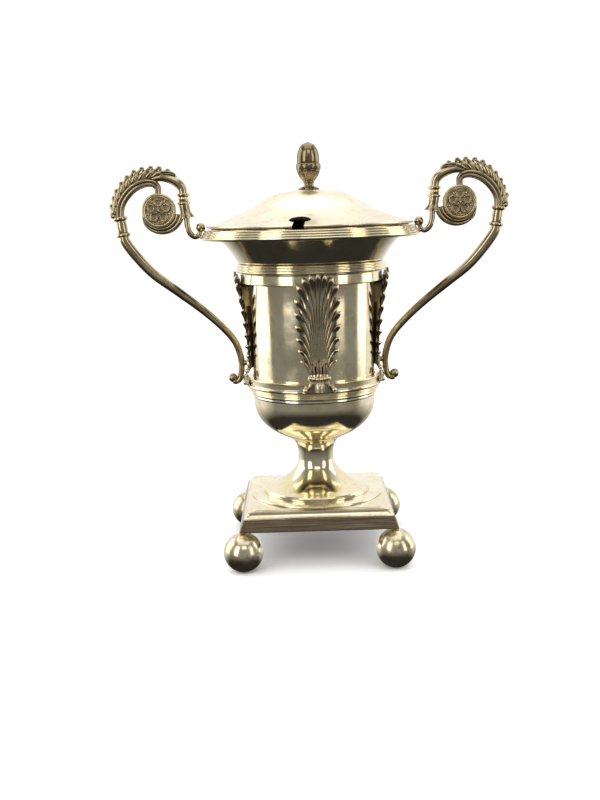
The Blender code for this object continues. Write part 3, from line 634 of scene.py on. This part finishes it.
def petal(k, side):
    """One hollow petal with raised edges and a tip that curls outwards."""
    tip_v = TIPS[k][1]
    rows = 40
    share = np.sin(np.linspace(0, 1, rows) * math.pi / 2) ** 0.95
    v = STEM_V + (tip_v - STEM_V) * share
    u = petal_x(k, v)
    slope = np.gradient(u, v)
    lean = np.arctan(slope)
    if k:
        inner_gap = u - petal_x(k - 1, v) if k > 1 else u
        inner_gap = np.minimum(inner_gap, 5.4)
    else:
        inner_gap = petal_x(1, v)
    outer_gap = petal_x(k + 1, v) - u if k + 1 < len(TIPS) else inner_gap
    free = 1.0 if k + 1 == len(TIPS) else smoothstep(TIPS[k + 1][1] - 5.0, TIPS[k + 1][1] + 0.5, v)
    if k == 0:
        outer_gap, free = inner_gap, 0.0
    outer_gap = outer_gap * (1 - free) + np.clip(inner_gap, 0, 5.2) * free
    half_in = np.clip(0.5 * inner_gap * np.cos(lean) + 0.05, 0.22, 2.45)
    half_out = np.clip(0.5 * outer_gap * np.cos(lean) + 0.05, 0.22, 2.45)
    tip = np.sqrt(np.clip(1 - np.clip((share - 0.87) / 0.13, 0, 1) ** 2, 0.01, 1))
    half_in, half_out = half_in * tip, half_out * tip
    curl = smoothstep(0.80, 1.0, share)
    depth = 0.6 + 0.35 * share + (1.5 if k > 2 else 1.1) * curl**1.3
    s = np.array([-1, -0.93, -0.8, -0.6, -0.3, 0, 0.3, 0.6, 0.8, 0.93, 1])
    rim = np.array([0.0, 0.72, 1.0, 0.62, 0.22, 0.1, 0.22, 0.62, 1.0, 0.72, 0.0])
    hollow = np.array([0.9, 0.2, 0.0, 0.04, 0.25, 0.38, 0.25, 0.04, 0.0, 0.2, 0.9])
    ridge = np.array([0.0, 0.4, 0.62, 0.85, 0.97, 1.0, 0.97, 0.85, 0.62, 0.4, 0.0])
    groove = np.array([1.0, 0.75, 0.35, 0.0, 0.0, 0.0, 0.0, 0.0, 0.35, 0.75, 1.0])
    rings, recess = [], []
    for i in range(rows):
        half = np.where(s < 0, half_in[i], half_out[i])
        across, up = math.cos(lean[i]), -math.sin(lean[i])
        uu, vv = u[i] + s * half * across, v[i] + s * half * up
        rise = min(0.85, 0.55 * (half_in[i] + half_out[i]) + 0.15)
        # towards the tip the hollow fills and the edge rounds over into a curled hood
        wide = float(smoothstep(1.5, 2.7, half_in[i] + half_out[i]))
        shape = (1 - wide) * ridge + wide * rim
        front = depth[i] + rise * (
            shape * (1 - 0.55 * curl[i]) + 0.55 * curl[i] * np.sqrt(np.clip(1 - s**2, 0, 1))) - 0.25
        back_d = np.array([max(0.02, depth[i] - 0.9 - 0.4 * curl[i])] * 3)
        drop = 1.1 * smoothstep(0.94, 1.0, share[i]) ** 2
        front = front - drop
        ub, vb = u[i] + s[[9, 5, 1]] * half[[9, 5, 1]] * across, v[i] + s[[9, 5, 1]] * half[[9, 5, 1]] * up
        ring = np.vstack([wrapped(uu * side, vv, front), wrapped(ub * side, vb, back_d)])
        rings.append(ring)
        # The hollow and the back are marked for darkening: tarnish and painted shade.
        fade = 1 - 0.6 * curl[i]
        sunk = (1 - wide) * groove + wide * hollow * fade
        recess.append(np.concatenate([sunk, [1, 1, 1]]))
    points, faces = skin(np.array(rings), loop=False, cap=True)
    recess = np.concatenate(recess)
    return points, faces, np.concatenate([recess, [0.5, 0.0]])


def lance_leaf(u0, v0, v1, half, lift):
    """A small pointed leaf with a raised edge, at the palmette's base."""
    rows = 16
    t = np.linspace(0, 1, rows)
    s = np.linspace(-1, 1, 9)
    rim = 1 - np.abs(np.abs(s) - 0.72) / 0.72
    rings, recess = [], []
    for i in range(rows):
        w = half * (math.sin(math.pi * min(0.12 + 0.9 * t[i], 1.0)) ** 0.6) + 0.05
        v = v0 + (v1 - v0) * t[i]
        front = lift + 0.45 * rim + 0.5 * math.sin(math.pi * t[i] * 0.8)
        front[0] = front[-1] = lift - 0.3
        ring = np.vstack([wrapped(u0 + s * w, np.full(9, v), front),
                          wrapped(u0 + s[[7, 1]] * w, np.full(2, v), np.full(2, 0.3))])
        rings.append(ring)
        # The middle and the back are marked for darkening: tarnish and painted shade.
        recess.append(np.concatenate([1 - rim, [1, 1]]))
    points, faces = skin(np.array(rings), loop=False, cap=True)
    return points, faces, np.concatenate([np.concatenate(recess), [0.5, 0.5]])


def wall_gap(v):
    """How far behind the leaf's back the wall or the frieze lies, with a hair left clear."""
    wall = np.where(v > 126.9, 33.2, 28.3 + 1.2 * np.clip((v - 88) / 39, 0, 1))
    return np.where(v < 88.5, 0.0, np.minimum(wall - plate_r(v), 0.0))


def backing():
    """The leaf's solid back, which fills in behind the petals and is darkened there as painted shade for the
    dark gap, and its spreading foot over the band.
    """
    heights = np.concatenate([np.linspace(80.5, 88, 16), np.linspace(88.6, 129.5, 44)])
    outline_v = [80.4, 81.4, 83.0, 84.8, 86.5, 88.5, 92, 98, 106, 114, 122, 127, 129.5]
    outline_w = [7.7, 7.2, 5.3, 4.3, 4.1, 4.4, 5.8, 7.2, 8.2, 8.5, 8.0, 6.6, 3.6]
    s = np.linspace(-1, 1, 21)
    rings, recess = [], []
    for v in heights:
        w = float(np.interp(v, outline_v, outline_w))
        foot = 1 - smoothstep(82.5, 86.0, v)
        tongue = np.exp(-((s * w / 1.5) ** 4))
        edge = np.clip((1 - np.abs(s)) / 0.12, 0, 1) ** 0.5
        body = 0.55 + foot * (0.15 + 0.95 * tongue + 0.75 * smoothstep(0.72, 0.9, np.abs(s)))
        front = body * edge
        rings.append(
            np.vstack([wrapped(s * w, np.full(21, v), front),
                       wrapped(s[[18, 10, 2]] * w, np.full(3, v), np.full(3, float(wall_gap(v))))])
        )
        # Above the foot the back is darkened almost fully as painted shade in the gap behind the petals; on
        # the foot the hollows darken as tarnish and painted shade.
        sunk = foot * (1 - np.maximum(tongue, smoothstep(0.7, 0.85, np.abs(s)))) * 0.8 + (1 - foot) * 0.9
        recess.append(np.concatenate([sunk, [1, 1, 1]]))
    points, faces = skin(np.array(rings), loop=False, cap=True)
    return points, faces, np.concatenate([np.concatenate(recess), [0.5, 0.5]])


def knob_at(u, v, d, r):
    points, faces, recess = ball((0, 0, 0), (r, r, r), 10, 14)
    centre = wrapped(np.float64(u), np.float64(v), np.float64(d))
    return points + centre, faces, recess


def palmette_shape():
    parts = [backing()]
    for k in range(len(TIPS)):
        parts += [petal(k, 1)] if k == 0 else [petal(k, 1), petal(k, -1)]
    for u, top, half in ((0, 95.0, 1.55), (-3.3, 93.6, 1.45), (3.3, 93.6, 1.45)):
        parts.append(lance_leaf(u * 0.9, 87.0, top, half, 1.0))
    for u in (-4.2, -2.55, -0.85, 0.85, 2.55, 4.2):
        parts.append(knob_at(u, 86.2 + 0.12 * abs(u), 1.0, 1.0))
    for u in (-6.4, 6.4):  # scrolls at the foot's corners
        parts.append(knob_at(u, 81.6, 0.9, 1.15))
    return joined(parts)


palmette_mesh = make_mesh("palmette", palmette_shape(), 55)
for side, turn in (("front", 3.5), ("right", 90), ("back", 183.5), ("left", 270)):
    node = f"palmette_{side}"
    piece("cast_" + node, palmette_mesh, CAST, node, "vase", math.radians(turn))

# --- handles, drawn in the XZ plane at +X ----------------------------------------------------------

arm_path = resampled(
    spline(
        [(38.0, 81.4), (36.1, 81.2), (34.7, 82.8), (34.0, 86.6), (34.0, 92.5), (36.6, 100.4),
         (42.3, 107.5), (51.4, 115.9),
         (62.0, 124.3), (72.6, 132.6), (80.0, 140.8), (84.7, 147.5), (85.5, 151.0)], 12), 150)
arm_radius = interp_of([1.2, 1.45, 1.6, 1.65, 1.7, 1.75, 1.8, 1.9, 2.0, 2.1, 2.2, 2.3, 2.35, 2.35, 2.25])


def arm_shape():
    rod = sweep(arm_path, round_section(arm_radius, sides=28))
    leaf = []  # the little sheath that wraps the rod where it leaves the palmette
    for side in (-1, 1):
        path = arm_path[26:52]
        leaf.append(sweep(path,
                          round_section(lambda t: 0.25 + 0.55 * math.sin(math.pi * t) ** 0.7, 1.0, 12)))
        leaf[-1][0][:, 1] += side * 1.35
    lug = sweep(np.array([(29.6, 90.0), (31.8, 90.0), (34.0, 90.0)]),
                round_section(lambda t: 1.3, sides=20))
    return joined([rod, ball((38.0, 0, 83.1), (2.2, 2.2, 2.2), 20, 28), lug, *leaf])


def collar_shape(low, high, body_r, ring_r, ring_height, steps=48):
    """A sleeve between two round rings with a groove beside each."""
    low, high = np.array(low), np.array(high)
    length = np.linalg.norm(high - low)
    along = (high - low) / length
    across = np.array([along[1], -along[0]])
    h = ring_height
    ring = [(0.5 * h * (1 - math.cos(t)), ring_r - 0.45 + 0.45 * math.sin(t)) for t in np.linspace(0,
            math.pi, 9)]
    half = [(0.0, ring_r - 1.1), *ring, (h + 0.12, body_r - 0.35), (h + 0.5, body_r - 0.3)]
    waist = [(length / 2, body_r - 0.05)]
    stations = half + waist + [(length - d, r) for d, r in half[::-1]]
    stations = filleted(stations, 0.1, False, 30)
    a = np.arange(steps) / steps * TAU
    rings = []
    for d, r in stations:
        flat = (low + along * d) + np.outer(r * np.cos(a), across)
        rings.append(np.stack([flat[:, 0], r * np.sin(a), flat[:, 1]], axis=1))
    points, faces = skin(np.array(rings), loop=False, cap=True)
    # The grooves beside the rings are marked for darkening: tarnish and painted shade.
    sunk = np.repeat([1.0 if h < d < h + 0.4 or h < length - d < h + 0.4 else 0.0 for d, _ in stations],
                     steps)
    return points, faces, np.concatenate([sunk, [1, 1]])


arch_path = resampled(
    spline([(86.7, 158.2), (86.2, 163.6), (83.7, 168.2), (79.6, 172.0), (74.8, 173.9), (70.8, 173.7),
            (68.9, 171.9),
            (68.8, 168.9)], 12), 90)


def arch_shape():
    strap = sweep(arch_path, ribbed_section(interp_of([1.85, 2.05, 2.15, 2.1, 1.8, 1.45]),
                                            interp_of([2.0, 2.05, 2.1, 2.0, 1.7, 1.5]), 2, 0.16, 18))
    return strap


CREST_KNOBS = [(63.8, 178.9), (67.7, 180.1), (71.5, 180.4), (75.6, 180.1), (79.2, 178.9), (82.4, 176.6),
               (85.1, 173.8),
               (87.4, 170.6), (88.8, 167.5), (90.0, 163.9), (89.7, 160.3)]
crest_spine = spline([(64.6, 177.9), (69, 177.6), (75.2, 176.3), (81.0, 173.7), (85.7, 169.4),
                      (88.2, 164.4), (88.9, 159.4)], 12)


def crest_shape():
    """A leaf lying along the arch: a spine and eleven lobes that lean to its tip and end in curled hoods."""
    parts = [sweep(resampled(crest_spine, 70), ribbed_section(interp_of([1.1, 1.9, 2.3, 2.3, 2.0, 1.4]),
                                                              interp_of([1.0, 1.3, 1.35, 1.35, 1.25,
                                                                      1.1]), 1, 0.1, 10))]
    spine = resampled(crest_spine, 400)
    for knob in CREST_KNOBS:
        knob = np.array(knob)
        nearest = int(np.argmin(np.linalg.norm(spine - knob, axis=1)))
        foot = spine[min(nearest + 92, 399)]
        ahead = spine[max(nearest - 20, 0)] - spine[min(nearest + 20, 399)]
        ahead /= np.linalg.norm(ahead)
        out = np.array([-ahead[1], ahead[0]])
        if out @ (knob - spine[nearest]) < 0:
            out = -out
        # from its root the lobe sweeps forward and then curls over its own tip
        curl = [knob + 0.72 * (math.cos(t) * ahead + math.sin(t) * out)
                for t in np.radians(np.linspace(175, -100, 14))]
        middle = 0.5 * foot + 0.5 * curl[0] - 0.1 * out
        path = np.vstack([spline([foot - 1.2 * out, middle, curl[0]], 7)[:-1], curl])
        grow = interp_of([0.5, 0.95, 1.25, 1.3, 1.15, 0.85, 0.7, 0.66, 0.6, 0.5])
        parts.append(sweep(resampled(path, 36), round_section(grow, 1.5, 16)))
    return joined(parts)


crook_path = resampled(spline([(57.3, 168.0), (57.8, 171.3), (60, 173.9), (63, 175.4), (66.6, 176.2),
                               (71.0, 175.6)], 10), 46)


def crook_shape():
    rod = sweep(crook_path, round_section(interp_of([2.0, 2.1, 2.15, 2.0, 1.7, 1.2]), sides=28))
    tip = resampled(spline([(66.8, 178.0), (63.9, 178.2), (61.6, 177.7), (60.6, 176.6), (61.6, 175.9)],
                           8), 26)
    curl = sweep(tip,
                 ribbed_section(interp_of([1.2, 1.2, 1.0, 0.8, 0.6]),
                                interp_of([1.7, 1.8, 1.7, 1.4, 1.0]), 2, 0.25, 8))
    return joined([rod, curl])


def calyx_shape():
    """A leafy cup: a tapering core and six pointed leaves that flare at its lip."""
    top, bottom = np.array([57.25, 164.4]), np.array([56.2, 157.6])
    along = (bottom - top) / np.linalg.norm(bottom - top)
    across = np.array([along[1], -along[0]])
    length = float(np.linalg.norm(bottom - top))

    def ring(share, radius, steps=30, wobble=0.0):
        a = np.arange(steps) / steps * TAU
        r = radius * (1 + wobble * np.abs(np.cos(3 * a)))
        flat = (top + along * share * length) + np.outer(r * np.cos(a), across)
        return np.stack([flat[:, 0], r * np.sin(a), flat[:, 1]], axis=1)

    rings = [ring(s, r, 60, w) for s, r, w in (
        (0.0, 1.7, 0), (0.02, 2.15, 0), (0.1, 2.3, 0.02), (0.25, 2.25, 0.06), (0.4, 2.1, 0.1),
        (0.55, 2.05, 0.14),
        (0.7, 2.2, 0.22), (0.82, 2.45, 0.3), (0.92, 2.7, 0.36), (0.97, 2.75, 0.36), (0.98, 1.9, 0.1),
        (0.9, 1.4, 0))]
    points, faces = skin(np.array(rings), loop=False, cap=True)
    a = np.arange(60) / 60 * TAU
    # The dips between the leaves are marked for darkening, more towards the lip: tarnish and painted shade.
    dip = 1 - np.abs(np.cos(3 * a))
    sunk = np.concatenate([dip * s for s in (0.2, 0.3, 0.5, 0.8, 1, 1, 1, 1, 1, 1, 1, 1)])
    return points, faces, np.concatenate([sunk, [1, 1]])


hook_path = resampled(
    spline([(56.3, 159.0), (56.2, 156.6), (56.1, 154.2), (55.2, 151.2), (53.2, 149.3), (51.2, 149.7),
            (50.3, 152.0)], 10), 60)


def hook_shape():
    rod = sweep(hook_path, round_section(interp_of([1.5, 1.3, 1.3, 1.35, 1.3, 1.15, 1.0]), sides=24))
    return joined([rod, ball((50.1, 0, 153.3), (2.2, 2.2, 2.2), 18, 26)])


MEDALLION = (68.8, 161.5)
MEDALLION_PETALS = 5


def medallion_shape():
    """Both faces carry a raised rim, an inner ring and a flower of two rows of petals round a bud."""
    rho = np.concatenate([np.linspace(0.12, 7.5, 84), [7.65, 7.8, 7.88]])
    phi = np.arange(180) / 180 * TAU
    r, f = np.meshgrid(rho, phi, indexing="ij")
    height = 1.0 + 0 * r
    height += 1.0 * np.exp(-(((r - 7.05) / 0.72) ** 4))
    height += 0.45 * np.exp(-(((r - 5.9) / 0.2) ** 2))
    across, up = r * np.cos(f), r * np.sin(f)
    flower = np.zeros_like(r)
    raised = smoothstep(5.5, 5.75, r)
    for ring_r, size, lift, shift in ((3.5, 2.08, 0.20, 0.0), (1.62, 1.08, 0.65, 0.5)):
        for k in range(MEDALLION_PETALS):
            t = (k + shift) / MEDALLION_PETALS * TAU + math.pi / 2
            q = np.hypot(across - ring_r * math.cos(t), up - ring_r * math.sin(t)) / size
            edge = np.exp(-(((q - 0.82) / 0.15) ** 2))
            dish = lift + 0.10 + 0.80 * edge
            raised = np.where(q < 1.0, edge, raised)
            flower = np.maximum(flower, dish * smoothstep(1.04, 0.95, q))
    for k in range(MEDALLION_PETALS):
        t = (k + 0.5) / MEDALLION_PETALS * TAU + math.pi / 2
        q = np.hypot(across - 4.9 * math.cos(t), up - 4.9 * math.sin(t)) / 0.5
        flower = np.maximum(flower, 0.7 * np.sqrt(np.clip(1 - q**2, 0, 1)))
        raised = np.maximum(raised, smoothstep(1.0, 0.6, q))
    flower = np.maximum(flower, 1.7 * np.sqrt(np.clip(1 - (r / 0.85) ** 2, 0, 1)))
    raised = np.maximum(raised, smoothstep(0.95, 0.7, r))
    height += flower
    # The field between the raised rim, ring and flower is marked for darkening: tarnish and painted shade.
    low = 0.55 * (1 - raised)
    height[-1] = 0.9
    height[-2] = 1.35
    rings, sunk = [], []
    order = list(range(len(rho))) + list(range(len(rho) - 1, -1, -1))
    for n, i in enumerate(order):
        sign = 1 if n < len(rho) else -1
        rings.append(np.stack([MEDALLION[0] + r[i] * np.cos(f[i]), -sign * height[i],
                               MEDALLION[1] + r[i] * np.sin(f[i])], axis=1))
        sunk.append(low[i])
    points, faces = skin(np.array(rings), loop=False, cap=True)
    return points, faces, np.concatenate([np.concatenate(sunk), [0, 0]])


def volute_shape():
    """The grooved strap that sweeps under the medallion, thick in the middle and fine at its ends."""
    a = np.radians(np.linspace(193, 352, 70))
    outer = np.stack([67.1 + 9.8 * np.cos(a), 160.6 + 9.8 * np.sin(a)], axis=1)
    b = np.radians(np.linspace(186, 355, 70))
    inner = np.stack([68.8 + 7.75 * np.cos(b), 161.5 + 7.75 * np.sin(b)], axis=1)
    # the free end melts into the medallion's rim
    fade = smoothstep(0.0, 0.22, np.linspace(1, 0.02, 70))[:, None]
    outer = inner + (outer - inner) * fade
    middle, half = (outer + inner) / 2, np.linalg.norm(outer - inner, axis=1) / 2
    return sweep(middle, ribbed_section(lambda t: float(np.interp(t * 69, np.arange(70), half)),
                                        interp_of([1.9, 1.9, 1.8, 1.5, 1.2]), 2, 0.22, 14))


handle_shapes = {
    "arm": arm_shape(),
    "lower_collar": collar_shape((85.45, 150.1), (86.75, 159.1), 2.6, 3.25, 1.6),
    "arch": arch_shape(),
    "crest": crest_shape(),
    "crook": crook_shape(),
    "upper_collar": collar_shape((57.2, 163.8), (57.35, 168.9), 2.45, 2.95, 1.3),
    "calyx": calyx_shape(),
    "rim_hook": hook_shape(),
    "medallion": medallion_shape(),
    "volute": volute_shape(),
}
for part, shape in handle_shapes.items():
    mesh = make_mesh(part, shape, 50)
    finish = CAST if part == "medallion" else HANDLE
    for hand, turn in (("left", math.pi), ("right", 0.0)):
        piece(f"cast_{hand}_{part}", mesh, finish, f"{hand}_{part}", "vase", turn)

# --- lid -----------------------------------------------------------------------------------------


def keyhole(low, high):
    """A prism through the lid: an oval eye for the spoon's stem and a slot to the edge."""
    meet = math.asin(2.5 / 4.7)
    t = np.linspace(-math.pi / 2 + meet, 1.5 * math.pi - meet, 40)
    plan = [(4.7 * math.cos(q), 3.2 * math.sin(q) - 38.9) for q in t]
    plan += [(-2.5, -52.0), (2.5, -52.0)]
    rings = [np.array([(x, y, z) for x, y in plan]) for z in (low, high)]
    mesh = make_mesh("keyhole_cutter", skin(np.array(rings), False, True))
    mesh.materials.append(CUT_EDGE_SHADE)
    obj = bpy.data.objects.new("keyhole_cutter", mesh)
    bpy.context.scene.collection.objects.link(obj)
    return obj


def cut(obj, other):
    """The object's mesh with the other's shape taken out, as plain geometry."""
    modifier = obj.modifiers.new("cut", "BOOLEAN")
    modifier.object = other
    modifier.operation = "DIFFERENCE"
    modifier.solver = "EXACT"
    # The cut faces take the cutter's near-black painted shade.
    modifier.material_mode = "TRANSFER"
    bpy.context.view_layer.update()
    evaluated = obj.evaluated_get(bpy.context.evaluated_depsgraph_get())
    mesh = bpy.data.meshes.new_from_object(evaluated)
    obj.modifiers.clear()
    obj.data = mesh
    mesh.shade_smooth()
    mesh.set_sharp_from_angle(angle=math.radians(38))


crown = spline([(1.3, 168.85), (5.0, 168.75), (9.5, 168.45), (15.2, 167.5), (20.4, 165.2),
                (27.4, 161.1), (35.8, 157.3),
                (43.8, 154.5), (45.3, 154.1)], 9)
under = spline([(44.3, 152.9), (42.8, 153.6), (35.4, 156.3), (27.0, 160.1), (20.0, 164.2),
                (15.0, 166.4), (9.5, 167.4),
                (1.3, 167.8)], 8)
lid_profile = filleted(
    [*crown, (45.5, 153.78), (45.85, 153.72), (46.05, 153.98), (46.6, 154.02), (47.15, 153.85),
     (47.3, 153.45),
     (47.15, 153.1), (46.7, 152.95), (45.9, 152.9), (45.2, 152.35), (44.6, 152.35), *under], 0.1, True, 16)
cutter = keyhole(146.0, 164.9)
lid = piece("silver_lid_shell", make_mesh("lid_shell", lathe(lid_profile, 192)), LID, "lid_shell",
            "lid", LID_TURN)
cutter.data.transform(Matrix.Rotation(LID_TURN, 4, "Z"))
cut(lid, cutter)
bezel = piece("silver_lid_bezel", make_mesh("lid_bezel", lathe(filleted(
    [(41.4, 149.7), (41.4, 153.9), (40.9, 154.3), (40.6, 154.3), (40.6, 149.7)], 0.12, True), 160)), RAISED,
    "lid_bezel", "lid", LID_TURN)
cut(bezel, cutter)
bpy.data.objects.remove(cutter)

# --- acorn knob -------------------------------------------------------------------------------------


def rosette_shape():
    """The knob's foot: a turned neck over eight small leaves that lie on the lid."""
    neck = lathe(filleted([(1.35, 168.9), (3.4, 168.9), (3.3, 169.8), (2.5, 170.3), (2.25, 170.9),
                           (2.2, 171.6), (2.6, 172.1),
                           (2.7, 172.85), (1.35, 172.85)], 0.2, True), 40)
    parts = [(*neck, np.zeros(len(neck[0])))]
    for n in range(8):
        turn = n / 8 * TAU
        rows = []
        for t in np.linspace(0, 1, 12):
            out = 2.1 + 2.7 * t
            half = 0.15 + 0.85 * math.sin(math.pi * (0.25 + 0.72 * t)) ** 0.8
            z = 169.5 + 0.75 * math.cos(t * math.pi / 2) - 0.25 * t
            s = np.linspace(-1, 1, 7)
            top = np.stack([np.full(7, out), s * half, z + 0.16 * (np.abs(s) < 0.1) - 0.32 * s**2], axis=1)
            low = np.stack([np.full(3, out), np.array([0.8, 0, -0.8]) * half, np.full(3, 168.8)], axis=1)
            rows.append(np.vstack([top, low]))
        points, faces = skin(np.array(rows), False, True)
        c, s_ = math.cos(turn), math.sin(turn)
        points = points @ np.array([[c, s_, 0], [-s_, c, 0], [0, 0, 1]])
        parts.append((points, faces, np.zeros(len(points))))
    return joined(parts)


piece("cast_knob_base", make_mesh("knob_base", rosette_shape()), KNOB, "knob_base", "knob",
      LID_TURN)

cup_side = spline([(2.7, 172.8), (3.3, 173.4), (4.1, 174.7), (5.0, 176.6), (5.5, 178.4), (5.62, 179.2)], 12)
cup_profile = [(0.02, 177.2), (1.3, 177.2), (1.3, 172.8), *cup_side, (5.62, 179.8), (5.5, 180.3),
               (5.15, 180.6), (0.02, 180.6)]


def scales(angle, z, r):
    """Overlapping scales round the acorn's cup."""
    row = (z - 173.2) / 1.5
    shift = (np.floor(row) % 2) * 0.5
    across = (angle / TAU * 11 + shift) % 1 - 0.5
    up = row % 1
    bump = np.clip(1 - (across * 2) ** 2 - (up - 0.2) ** 2, 0, 1)
    on = smoothstep(173.2, 173.6, z) * smoothstep(179.5, 179.1, z) * (r > 2.8)
    return 1 + 0.03 * bump * on


piece("cast_acorn_cup", make_mesh("acorn_cup", lathe(cup_profile, 128, scales)), KNOB, "acorn_cup",
      "knob", LID_TURN)
kernel = spline([(5.0, 180.75), (5.14, 181.8), (5.05, 184.0), (4.35, 186.6), (2.9, 188.8), (1.2, 189.6),
                 (0.75, 189.75)], 10)
piece("cast_acorn_nut", make_mesh("acorn_nut", lathe(
    [(0.02, 180.4), (4.7, 180.4), (4.9, 180.5), *kernel, (0.6, 189.95), (0.3, 190.0), (0.02, 190.0)],
    64)), KNOB,
    "acorn_nut", "knob", LID_TURN)

for hidden in ("pedestal_washer", "pedestal_nut", "pedestal_stud", "knob_nut", "knob_stud"):
    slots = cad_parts[hidden].material_slots
    for one in slots:
        one.material = HIDDEN

# --- floor, light and camera -------------------------------------------------------------------------


def floor():
    mesh = bpy.data.meshes.new("floor")
    size = 4.0
    mesh.from_pydata([(-size, -size, 0), (size, -size, 0), (size, size, 0), (-size, size, 0)], [],
                     [(0, 1, 2, 3)])
    obj = bpy.data.objects.new("floor", mesh)
    bpy.context.scene.collection.objects.link(obj)
    made = bpy.data.materials.new("pale_floor")
    made.use_nodes = True
    tree, shader = nodes_of(made)
    shader.inputs["Roughness"].default_value = 0.9
    shader.inputs["Specular IOR Level"].default_value = 0.1
    where = tree.nodes.new("ShaderNodeTexCoord").outputs["Object"]
    link(tree, ramp(tree, noise(tree, where, 6, 3),
                    [(0.3, (0.93, 0.93, 0.925)), (0.7, (0.95, 0.95, 0.95))]),
         shader.inputs["Base Color"])
    mesh.materials.append(made)
    obj.visible_glossy = False


floor()


# name, azimuth in degrees from the front, distance, height, (width, height) and brightness
SOFT_BOXES = [
    ("box_left", -42, 0.95, 0.40, (0.40, 0.95), 2.0),
    ("box_right", 50, 1.00, 0.38, (0.30, 0.95), 1.7),
    ("box_left_side", -104, 0.95, 0.35, (0.75, 0.95), 1.35),
    ("box_right_side", 100, 1.00, 0.35, (0.45, 0.95), 1.35),
    ("box_front", 6, 1.0, 0.95, (0.60, 0.40), 1.5),
    ("box_top", 180, 0.05, 1.25, (1.4, 1.4), 1.0),
]


def soft_box(name, azimuth, distance, height, size, brightness):
    """A plain white soft box that faces the object."""
    data = bpy.data.lights.new(name, "AREA")
    data.shape = "RECTANGLE"
    data.size, data.size_y = size
    data.energy = brightness * math.pi * size[0] * size[1]
    obj = bpy.data.objects.new(name, data)
    turn = math.radians(azimuth)
    obj.location = (distance * math.sin(turn), -distance * math.cos(turn), height)
    aim = Vector((0, 0, 0.1)) - obj.location
    obj.rotation_euler = aim.to_track_quat("-Z", "Y").to_euler()
    bpy.context.scene.collection.objects.link(obj)


def studio():
    """A white backdrop behind the object, a grey room in front that darkens downwards, and the soft boxes."""
    world = bpy.data.worlds.new("studio")
    bpy.context.scene.world = world
    world.use_nodes = True
    tree = world.node_tree
    tree.nodes.clear()
    parts = tree.nodes.new("ShaderNodeSeparateXYZ")
    link(tree, tree.nodes.new("ShaderNodeTexCoord").outputs["Generated"], parts.inputs[0])
    behind = ramp(tree, calc(tree, "MULTIPLY_ADD", parts.outputs[1], 0.5, 0.5), [(0.45, 0.0), (0.75, 1.0)])
    room = mixed(tree, behind, (0.25, 0.25, 0.25), (0.98, 0.98, 0.98))
    above = ramp(tree, calc(tree, "MULTIPLY_ADD", parts.outputs[2], 0.5, 0.5), [(0.20, 0.0), (0.43, 1.0)])
    seen = tree.nodes.new("ShaderNodeBackground")
    link(tree, mixed(tree, above, (0.03, 0.03, 0.03), room), seen.inputs["Color"])
    white = tree.nodes.new("ShaderNodeBackground")
    white.inputs["Color"].default_value = (1, 1, 1, 1)
    white.inputs["Strength"].default_value = 1.15
    paths = tree.nodes.new("ShaderNodeLightPath")
    choose = tree.nodes.new("ShaderNodeMixShader")
    link(tree, paths.outputs["Is Glossy Ray"], choose.inputs[0])
    link(tree, white.outputs[0], choose.inputs[1])
    link(tree, seen.outputs[0], choose.inputs[2])
    out = tree.nodes.new("ShaderNodeOutputWorld")
    link(tree, choose.outputs[0], out.inputs["Surface"])
    for box in SOFT_BOXES:
        soft_box(*box)


studio()


def camera():
    distance, height = 0.4746, 0.1621
    stand, pitch, roll = math.radians(-0.97), math.radians(10.82), math.radians(-1.70)
    aim = stand + math.radians(0.83)
    forward = Vector((-math.sin(aim) * math.cos(pitch), math.cos(aim) * math.cos(pitch), -math.sin(pitch)))
    right = Vector((math.cos(aim), math.sin(aim), 0))
    up = right.cross(forward)
    x = math.cos(roll) * right + math.sin(roll) * up
    y = -math.sin(roll) * right + math.cos(roll) * up
    data = bpy.data.cameras.new("camera")
    data.sensor_fit = "VERTICAL"
    data.sensor_height = 36
    data.lens = 45.87
    data.clip_start = 0.01
    obj = bpy.data.objects.new("camera", data)
    matrix = Matrix((x, y, -forward)).transposed().to_4x4()
    matrix.translation = Vector((distance * math.sin(stand), -distance * math.cos(stand), height))
    obj.matrix_world = matrix
    bpy.context.scene.collection.objects.link(obj)
    bpy.context.scene.camera = obj


camera()
bpy.context.scene.view_settings.view_transform = "Standard"
